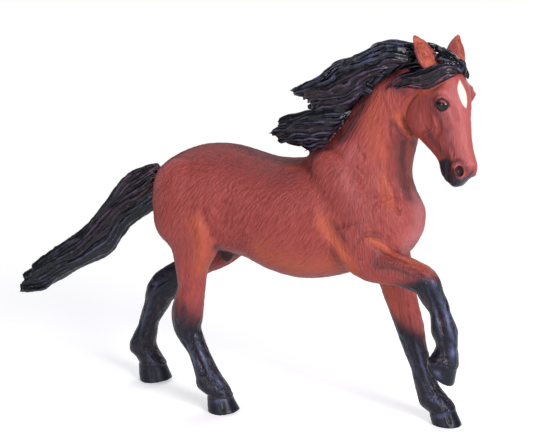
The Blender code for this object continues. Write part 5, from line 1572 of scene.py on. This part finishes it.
def comb_sheet(guides, trees, sheet, dice, far_side=False):
    """Strands that follow the drawn ones and lie between them, heaped into locks that wave together."""
    between, strand, swing, wave_length, blunt, root_sink, ragged = sheet
    out = np.array((0, 1, 0.1) if far_side else (0.2, -1, 0.1), float)
    t = np.linspace(0, 1, SHEET_STEPS)
    drawn = [(root, tip, laid_path(pixels, trees, far_side)) for root, tip, *pixels in guides]
    strands = []
    for (root, tip, above), (next_root, next_tip, below) in zip(drawn, drawn[1:]):
        together = np.sin(2 * math.pi * (way_along(above) / wave_length + dice.uniform(-0.15, 0.15)))
        together *= soft_step(0.05, 0.25, t) * soft_step(1.0, 0.85, t)
        apart = unit(below - above)
        for number in range(between):
            u = (number + dice.uniform(0.1, 0.9)) / between
            line = above * (1 - u) + below * u
            wave = np.sin(2 * math.pi * (dice.uniform(1.0, 2.2) * t + dice.uniform()))
            line = line + apart * (dice.uniform(0.05, 0.3) * strand * wave + swing * together)[:, None]
            heap = SHEET_LIFT * math.cos(2 * math.pi * u) + dice.uniform(-0.5, 0.5) * strand
            sink = SHEET_SINK + root_sink * (1 - soft_step(0.0, 0.2, t))
            line = line + out * (heap * np.sin(np.pi * np.clip(t * 1.4 + 0.1, 0, 0.5)) - sink)[:, None]
            radii = strand * dice.uniform(0.55, 1.3) * (0.6 + 0.4 * soft_step(0.0, 0.15, t))
            radii = np.maximum(radii * np.clip(1.1 - t**4, 0.0, 1.0), max(THINNEST_STRAND, strand * blunt))
            brown = (root * (1 - u) + next_root * u) * (1 - t) + (tip * (1 - u) + next_tip * u) * t
            brown = np.clip(brown + dice.uniform(-0.25, 0.25), 0, 1)
            brown = brown + root**3 * (1 - soft_step(0.02, 0.20, t)) * ROOT_TINT
            first = int(dice.integers(0, 2))
            last = SHEET_STEPS - int(dice.integers(0, 2)) * ragged
            strands.append((line[first:last], radii[first:last], brown[first:last]))
    return strands


def spun_hair(name, strands, voxel, dice):
    """Strands melted into one carved form, with masks for tone, streaks, tips and grooves."""
    bpy.ops.curve.primitive_bezier_curve_add()
    obj = bpy.context.object
    obj.name = name
    curve = obj.data
    curve.splines.clear()
    curve.bevel_depth = 1.0
    curve.bevel_resolution = 2
    curve.use_fill_caps = True
    for line, radii, _ in strands:
        spline = curve.splines.new("POLY")
        spline.points.add(len(line) - 1)
        packed = np.column_stack((line, np.ones(len(line))))
        spline.points.foreach_set("co", packed.ravel())
        spline.points.foreach_set("radius", radii)
    curve.dimensions = "3D"
    select_only(obj)
    bpy.ops.object.convert(target="MESH")
    obj = bpy.context.object
    finish_with(obj, "REMESH", mode="VOXEL", voxel_size=voxel)
    drop_crumbs(obj)
    finish_with(obj, "SMOOTH", factor=0.5, iterations=1)
    mark_hair(Skin(obj), strands, dice)
    return obj


def drop_crumbs(obj):
    """Keeps only the largest closed form of a mesh."""
    shape = bmesh.new()
    shape.from_mesh(obj.data)
    shape.verts.ensure_lookup_table()
    waiting = set(range(len(shape.verts)))
    forms = []
    while waiting:
        reached = [waiting.pop()]
        form = set(reached)
        while reached:
            for edge in shape.verts[reached.pop()].link_edges:
                for vert in edge.verts:
                    if vert.index not in form:
                        form.add(vert.index)
                        reached.append(vert.index)
        waiting -= form
        forms.append(form)
    largest = max(forms, key=len)
    crumbs = [vert for vert in shape.verts if vert.index not in largest]
    bmesh.ops.delete(shape, geom=crumbs, context="VERTS")
    shape.to_mesh(obj.data)
    shape.free()


def mark_hair(skin, strands, dice):
    """Finds each point's strand, cuts grooves between strands and writes the paint's masks."""
    total = len(strands) * HAIR_SAMPLES
    tree = KDTree(total)
    headings = np.zeros((total, 3))
    tones = np.zeros(total)
    browns = np.zeros(total)
    for number, (line, _, brown) in enumerate(strands):
        dense = evenly(line, HAIR_SAMPLES)
        span = slice(number * HAIR_SAMPLES, (number + 1) * HAIR_SAMPLES)
        headings[span] = np.gradient(dense, axis=0)
        tones[span] = dice.uniform()
        browns[span] = np.interp(np.linspace(0, 1, HAIR_SAMPLES), np.linspace(0, 1, len(brown)), brown)
        for step, point in enumerate(dense):
            tree.insert(point, span.start + step)
    tree.balance()
    nearest = np.array([tree.find(point)[1] for point in skin.points])
    flow = skin.flat_on(skin.averaged(unit(headings)[nearest], 3))
    fine = skin.combed(dice.normal(size=skin.count), flow, 14, 8)
    owner = nearest // HAIR_SAMPLES
    first, second = skin.edges.T
    parted = owner[first] != owner[second]
    groove = np.zeros(skin.count)
    groove[first[parted]] = 1.0
    groove[second[parted]] = 1.0
    groove = skin.averaged(groove, 1)
    skin.points += skin.normals * (HAIR_RELIEF * np.clip(fine, -2, 2) - HAIR_GROOVE * groove)[:, None]
    skin.write()
    skin.mask("strokes", 0.5 + 0.22 * fine)
    skin.mask("tone", tones[nearest])
    brown = skin.averaged(browns[nearest], 3)
    skin.mask("brown", brown)
    skin.mask("root", brown - 1)
    # Masks for painted shade in the grooves and painted highlight on the raised strands
    skin.mask("hollow", np.clip(skin.hollows(8) / HAIR_HOLLOW_DEPTH, 0.0, 1.0) + 0.55 * groove)
    skin.mask("proud", np.clip(-skin.hollows(8) / HAIR_PROUD_HEIGHT, 0.0, 1.0) * (1 - groove))


def model_mane(skin_tree, dice):
    trees = (solid_tree("mane"), skin_tree)
    strands = []
    for number, (width, thickness, *shares) in enumerate(MANE_LOCK_SHARES):
        path = []
        for along, across, up in rows_of(shares, 3):
            point = place((along, across * MANE_CORE_INWARD_SHARE, up))
            point.y += sway(point.z)
            path.append(point)
        size = (width * MANE_LOCK_WIDTH * CORE_WIDTH_SHARES[0], thickness * MANE_LOCK_THICKNESS)
        start_share = 0.0 if number < 2 else MANE_CORE_START_SHARE
        strands += comb_lock(path, *size, (0, 1, 0), 8, MANE_STRAND, dice, start_share)
    for far_side in (False, True):
        strands += comb_sheet(MANE_STRANDS, trees, MANE_SHEET, dice, far_side)
    return spun_hair("carved_mane", strands, MANE_VOXEL, dice)


def model_forelock(skin_tree, dice):
    turn = head_frame().to_3x3()
    trees = (solid_tree("forelock"), skin_tree)
    strands = []
    for shares, width, thickness, outward in FORELOCK_LOCK_SHARES:
        path = [on_head(share) for share in shares]
        size = (width * FORELOCK_WIDTH, thickness * FORELOCK_THICKNESS)
        strands += comb_lock(path, *size, turn @ Vector(outward), 6, FORELOCK_STRAND, dice)
    for guides in (FORELOCK_STRANDS, BROW_STRANDS, CROWN_STRANDS):
        strands += comb_sheet(guides, trees, FORELOCK_SHEET, dice)
    return spun_hair("carved_forelock", strands, HAIR_VOXEL, dice)


def model_tail(dice):
    trees = (solid_tree("tail"), None)
    strands = []
    for width, thickness, *shares in TAIL_LOCK_SHARES:
        path = [place(share) for share in rows_of(shares, 3)]
        size = (width * TAIL_WIDTH * CORE_WIDTH_SHARES[1], thickness * TAIL_THICKNESS)
        strands += comb_lock(path, *size, (0, 1, 0), 12, TAIL_STRAND, dice, 0.0, TAIL_TAPER_SHARE)
    node = bpy.data.objects["tail"]
    points = np.array([node.matrix_world @ vert.co for vert in node.data.vertices])
    dock = points[points[:, 0] > points[:, 0].max() - DOCK_DEPTH].mean(axis=0)
    for far_side in (False, True):
        for line, radii, brown in comb_sheet(TAIL_STRANDS, trees, TAIL_SHEET, dice, far_side):
            strands.append((np.vstack((dock, line)), np.append(radii[0], radii), np.append(brown[0], brown)))
    for _, _, *pixels in TAIL_STRANDS:
        near, far = (laid_path(pixels, trees, far_side) for far_side in (False, True))
        radii = np.clip(np.linalg.norm(near - far, axis=1) / 2 - 2 * TAIL_STRAND, TAIL_STRAND, DOCK_FILLING)
        line = np.vstack((dock, (near + far) / 2))
        strands.append((line, np.append(DOCK_FILLING, radii), np.full(len(line), 0.2)))
    return spun_hair("carved_tail", strands, HAIR_VOXEL, dice)


# Materials


def paint(red, green, blue):
    """A colour as the eye reads it from 0 to 255, in the linear values that shaders take."""
    linear = []
    for value in (red, green, blue):
        share = value / 255
        linear.append(share / 12.92 if share <= 0.04045 else ((share + 0.055) / 1.055) ** 2.4)
    return (*linear, 1.0)


class Number:
    """A shader socket that takes part in sums."""

    def __init__(self, nodes, socket):
        self.nodes = nodes
        self.socket = socket

    def sum_with(self, operation, first, second):
        return self.nodes.add("Math", {"operation": operation}, {0: first, 1: second})

    def __add__(self, other):
        return self.sum_with("ADD", self, other)

    def __sub__(self, other):
        return self.sum_with("SUBTRACT", self, other)

    def __rsub__(self, other):
        return self.sum_with("SUBTRACT", other, self)

    def __mul__(self, other):
        return self.sum_with("MULTIPLY", self, other)

    __radd__ = __add__
    __rmul__ = __mul__


class Nodes:
    """Shader nodes as they are put together."""

    def __init__(self, tree):
        self.tree = tree

    def feed(self, socket, value):
        if isinstance(value, Number):
            self.tree.links.new(value.socket, socket)
        else:
            socket.default_value = value

    def add(self, kind, settings, inputs, output=0):
        node = self.tree.nodes.new("ShaderNode" + kind)
        for name, value in settings.items():
            setattr(node, name, value)
        for key, value in inputs.items():
            self.feed(node.inputs[key], value)
        return Number(self, node.outputs[output])

    def ray(self, name):
        return self.add("LightPath", {}, {}, name)

    def place_on_object(self):
        return self.add("TexCoord", {}, {}, "Object")

    def mask(self, name):
        return self.add("Attribute", {"attribute_name": name}, {}, "Fac")

    def mixed(self, factor, first, second):
        settings = {"data_type": "RGBA", "blend_type": "MIX", "clamp_factor": True}
        return self.add("Mix", settings, {0: factor, 6: first, 7: second}, 2)

    def between(self, value, low, high):
        """0 to 1 as a value goes from low to high."""
        inputs = {"Value": value, "From Min": low, "From Max": high}
        return self.add("MapRange", {"interpolation_type": "SMOOTHSTEP"}, inputs)

    def speckle(self, size, detail=2.0, spot=None):
        inputs = {"Vector": spot or self.place_on_object(), "Scale": 1 / size, "Detail": detail}
        return self.add("TexNoise", {}, inputs)

    def brushed(self, lean):
        """Short strokes that lean back so many degrees from straight down."""
        inputs = {
            "Vector": self.place_on_object(),
            "Rotation": (0, math.radians(lean - 90), 0),
            "Scale": (BRUSH_LENGTH, BRUSH_WIDTH, BRUSH_WIDTH),
        }
        turned = self.add("Mapping", {"vector_type": "TEXTURE"}, inputs)
        return self.between(self.speckle(1.0, spot=turned), 0.36, 0.64)


class Finish(Nodes):
    """A procedural material."""

    def __init__(self, name, roughness):
        self.material = bpy.data.materials.new(name)
        self.material.use_nodes = True
        super().__init__(self.material.node_tree)
        self.shader = self.tree.nodes["Principled BSDF"]
        self.set("Roughness", roughness)

    def set(self, name, value):
        self.feed(self.shader.inputs[name], value)

    def bump(self, height, depth):
        inputs = {"Height": height, "Distance": depth, "Strength": 1.0}
        self.set("Normal", self.add("Bump", {}, inputs))


def coat_paint():
    """Airbrushed bay paint with black points, on carved hair, with painted shade in the hollows and painted
    highlights where the light falls.
    """
    coat = Finish("bay_coat_paint", 0.42)
    strokes = coat.mask("strokes")
    locks = coat.mask("locks")
    mottle = coat.speckle(MOTTLE_SIZE, 3.0)
    fine = coat.speckle(COAT_GRAIN)
    light_bay = paint(152, 68, 64)
    deep_bay = paint(126, 47, 42)
    lie = coat.mask("lie")
    down, slant, back = (coat.brushed(lean) for lean in BRUSH_LEANS)
    upright = coat.between(lie, 0.25, 0.42)
    level = coat.between(lie, 0.55, 0.72)
    brush = down * (1 - upright) + slant * upright
    brush = brush * (1 - level) + back * level
    blend = 0.5 + (strokes - 0.5) * 0.15 + (locks - 0.5) * 0.05
    blend = blend + (mottle - 0.5) * 0.5 + (brush - 0.5) * 0.55
    colour = coat.mixed(blend, deep_bay, light_bay)
    # Orange paint, and a painted orange highlight on lit edges
    colour = coat.mixed(coat.mask("warm") * 0.66, colour, paint(174, 82, 50))
    # Painted highlight: pink where the light falls on breast, rump edge, neck and nose bridge
    colour = coat.mixed(coat.mask("pale") * 0.62, colour, paint(184, 104, 106))
    # Painted highlight: lighter on the raised forms of the coat
    colour = coat.mixed(coat.mask("proud") * 0.22, colour, paint(182, 104, 102))
    # Painted shade: darker in the broad hollows
    colour = coat.mixed(coat.mask("deep") * 0.55, colour, paint(108, 38, 36))
    # Dark lines: mostly painted shade, partly dark paint along the mane's root
    dark = coat.between(coat.mask("dark") + (strokes - 0.5) * 0.3, 0.05, 1.0)
    colour = coat.mixed(dark, colour, paint(62, 30, 34))
    black = coat.mask("black")
    edge = black + (strokes - 0.5) * 0.25 + (mottle - 0.5) * 0.25
    colour = coat.mixed(coat.between(edge, 0.0, 0.7) * 0.8, colour, paint(66, 30, 40))
    colour = coat.mixed(coat.between(edge, 0.3, 1.0), colour, paint(8, 9, 19))
    # Painted highlight: bluish on the raised forms of the black legs
    colour = coat.mixed(coat.mask("proud") * black * 0.35, colour, paint(62, 64, 92))
    # Painted highlight: bluish streaks on the lit ridges of the black legs
    painted_sheen = coat.mask("painted_sheen") * black * (0.4 + strokes * 0.8)
    specks = coat.between(strokes * 0.6 + fine * 0.5, 0.72, 0.82) * black * 0.5
    colour = coat.mixed(specks, colour, paint(66, 38, 42))
    colour = coat.mixed(coat.mask("hoof"), colour, coat.mixed(fine, paint(9, 10, 20), paint(22, 24, 40)))
    colour = coat.mixed(painted_sheen * 0.70, colour, paint(100, 108, 146))
    # Painted shade: darker in the creases
    colour = coat.mixed(coat.mask("hollow") * 0.30, colour, paint(44, 16, 16))
    star = coat.mixed(fine, paint(200, 192, 178), paint(224, 218, 204))
    colour = coat.mixed(coat.mask("star"), colour, star)
    coat.set("Base Color", colour)
    coat.set("Roughness", 0.48 - black * 0.20 + coat.mask("hoof") * 0.10 + (fine - 0.5) * 0.12)
    coat.set("Specular IOR Level", 0.24)
    coat.bump((fine * 0.25 + strokes * 0.15 + brush * 0.6) * coat.mask("furred"), COAT_BUMP)
    return coat.material


def hair_paint():
    """Satin black paint with dark brown dry-brushed over the carved strands, painted highlights on the
    raised strands and painted shade in the grooves.
    """
    hair = Finish("black_hair_paint", 0.32)
    strokes = hair.mask("strokes")
    tone = hair.mask("tone")
    fine = hair.speckle(HAIR_GRAIN)
    brown = hair.mask("brown") * 0.85 + (tone - 0.5) * 0.35 + (strokes - 0.5) * 0.4
    colour = hair.mixed(hair.between(brown, 0.25, 1.0), paint(7, 9, 19), paint(48, 26, 42))
    colour = hair.mixed(hair.between(brown, 0.88, 1.12) * 0.6, colour, paint(128, 66, 46))
    # Painted highlight: bluish and mauve sheen on the raised strands
    painted_sheen = hair.between(strokes * 0.45 + hair.mask("proud") * 0.35 + tone * 0.25, 0.45, 0.85) * 0.55
    brushed = hair.mixed(hair.between(brown, 0.4, 1.0), paint(78, 82, 112), paint(92, 70, 92))
    colour = hair.mixed(painted_sheen, colour, brushed)
    colour = hair.mixed(hair.mask("root") * 0.85, colour, paint(92, 40, 42))
    # Painted shade: the grooves between strands darkened nearly to black
    colour = hair.mixed(hair.mask("hollow") * 0.9, colour, paint(5, 4, 8))
    hair.set("Base Color", colour)
    hair.set("Specular IOR Level", 0.30)
    hair.set("Roughness", 0.32 + (fine - 0.5) * 0.16)
    hair.bump(fine * 0.3 + strokes * 0.7, HAIR_BUMP)
    return hair.material


def eye_paint():
    eye = Finish("glossy_eye_paint", 0.16)
    eye.set("Specular IOR Level", 0.35)
    tint = eye.speckle(EYE_GRAIN)
    eye.set("Base Color", eye.mixed(eye.between(tint, 0.45, 0.75), paint(12, 11, 14), paint(40, 22, 18)))
    return eye.material


def floor_paint():
    """A pale floor that the camera sees as white but for the object's shadow."""
    floor = Finish("floor_white", 0.9)
    colour = floor.mixed(floor.speckle(FLOOR_GRAIN), paint(243, 243, 244), paint(246, 246, 247))
    floor.set("Base Color", colour)
    seen = floor.ray("Is Camera Ray") + floor.ray("Is Glossy Ray") + floor.ray("Is Transmission Ray")
    plain = Number(floor, floor.shader.outputs[0])
    glow = floor.add("Emission", {}, {"Color": WHITE, "Strength": FLOOR_GLOW})
    lit = floor.add("AddShader", {}, {0: plain, 1: glow})
    white = floor.add("Emission", {}, {"Color": WHITE, "Strength": 1.0})
    far = floor.add("VectorMath", {"operation": "LENGTH"}, {0: floor.place_on_object()}, "Value")
    lit = floor.add("MixShader", {}, {0: floor.between(far, *FLOOR_FADE), 1: lit, 2: white})
    shown = floor.add("MixShader", {}, {0: seen, 1: plain, 2: lit})
    floor.feed(floor.tree.nodes["Material Output"].inputs["Surface"], shown)
    return floor.material


# Light and floor


def light_studio():
    world = bpy.data.worlds.new("studio")
    bpy.context.scene.world = world
    world.use_nodes = True
    world.node_tree.nodes.clear()
    sky = Nodes(world.node_tree)
    room = sky.add("Background", {}, {"Color": ROOM_COLOUR, "Strength": ROOM_STRENGTH})
    white = sky.add("Background", {}, {"Color": WHITE, "Strength": 1.0})
    seen = sky.ray("Is Camera Ray") + sky.ray("Is Transmission Ray")
    shown = sky.add("MixShader", {}, {0: seen, 1: room, 2: white})
    sky.feed(sky.tree.nodes.new("ShaderNodeOutputWorld").inputs["Surface"], shown)
    for name, (location, size, power, colour) in LAMPS.items():
        bpy.ops.object.light_add(type="AREA", location=location)
        lamp = bpy.context.object
        lamp.name = name
        lamp.data.size = size
        lamp.data.energy = power
        lamp.data.color = colour
        lamp.rotation_euler = (CAMERA_TARGET - Vector(location)).to_track_quat("-Z", "Y").to_euler()


def lay_floor():
    bpy.ops.mesh.primitive_plane_add(size=FLOOR_SIZE)
    floor = bpy.context.object
    floor.name = "studio_floor"
    bpy.ops.object.transform_apply(location=True, rotation=True, scale=True)
    floor.data.materials.append(floor_paint())


def add_eyes(skin):
    """Glossy eyeballs sunk into the sockets."""
    spot = head_frame().inverted() @ seen_point(skin.tree(), EYE_PIXEL)
    out = Vector((0.0, 0.30, 1.0)).normalized()
    tilt = head_frame().to_3x3().to_4x4()
    eyes = []
    for side, sink in zip((1, -1), EYE_SINKS):
        away = Vector((out.x, out.y, out.z * side))
        middle = Vector((spot.x - EYE_RISE, spot.y, spot.z * side)) - away * sink
        eyes.append(ball(head_frame() @ middle, [EYE_RADIUS] * 3, frame_of_ball=tilt))
    return joined("eyes", eyes)


bpy.ops.object.select_all(action="DESELECT")
camera_place = aim_camera()
dice = np.random.default_rng(7)

clay = model_clay()
skin = Skin(clay)
carve(skin, BODY_STROKES, "body")
carve(skin, LEG_STROKES, "leg")
shape_face(skin)
groom_coat(skin, dice)
paint_masks(skin)
eyes = add_eyes(skin)
skin_tree = skin.tree()
skin_normals = skin.normals.copy()
skin_points = KDTree(skin.count)
for index, point in enumerate(skin.points):
    skin_points.insert(point, index)
skin_points.balance()
skin_masks = {}
for attribute in clay.data.attributes:
    if attribute.data_type == "FLOAT" and attribute.domain == "POINT":
        skin_masks[attribute.name] = values_of(attribute.data, "value")
carried = clay.data.attributes.new("skin_normal", "FLOAT_VECTOR", "POINT")
carried.data.foreach_set("vector", skin.normals.ravel().astype(np.float32))

coat = coat_paint()
hair = hair_paint()
pieces = part_clay(clay)
for name, piece in pieces.items():
    keep_skin_shading(piece, skin_points, skin_normals, skin_masks)
    piece.data.materials.clear()
    piece.data.materials.append(coat)
eyes.data.materials.append(eye_paint())
for face in eyes.data.polygons:
    face.use_smooth = True
pieces["head"] = joined("painted_head", [pieces["head"], eyes])

pieces["mane"] = model_mane(skin_tree, dice)
pieces["forelock"] = model_forelock(skin_tree, dice)
pieces["tail"] = model_tail(dice)
for name in ("mane", "forelock", "tail"):
    pieces[name].data.shade_smooth()
    pieces[name].data.materials.clear()
    pieces[name].data.materials.append(hair)

for name, piece in pieces.items():
    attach(piece, "root")
    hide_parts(name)

light_studio()
lay_floor()
bpy.context.scene.view_settings.view_transform = "Standard"
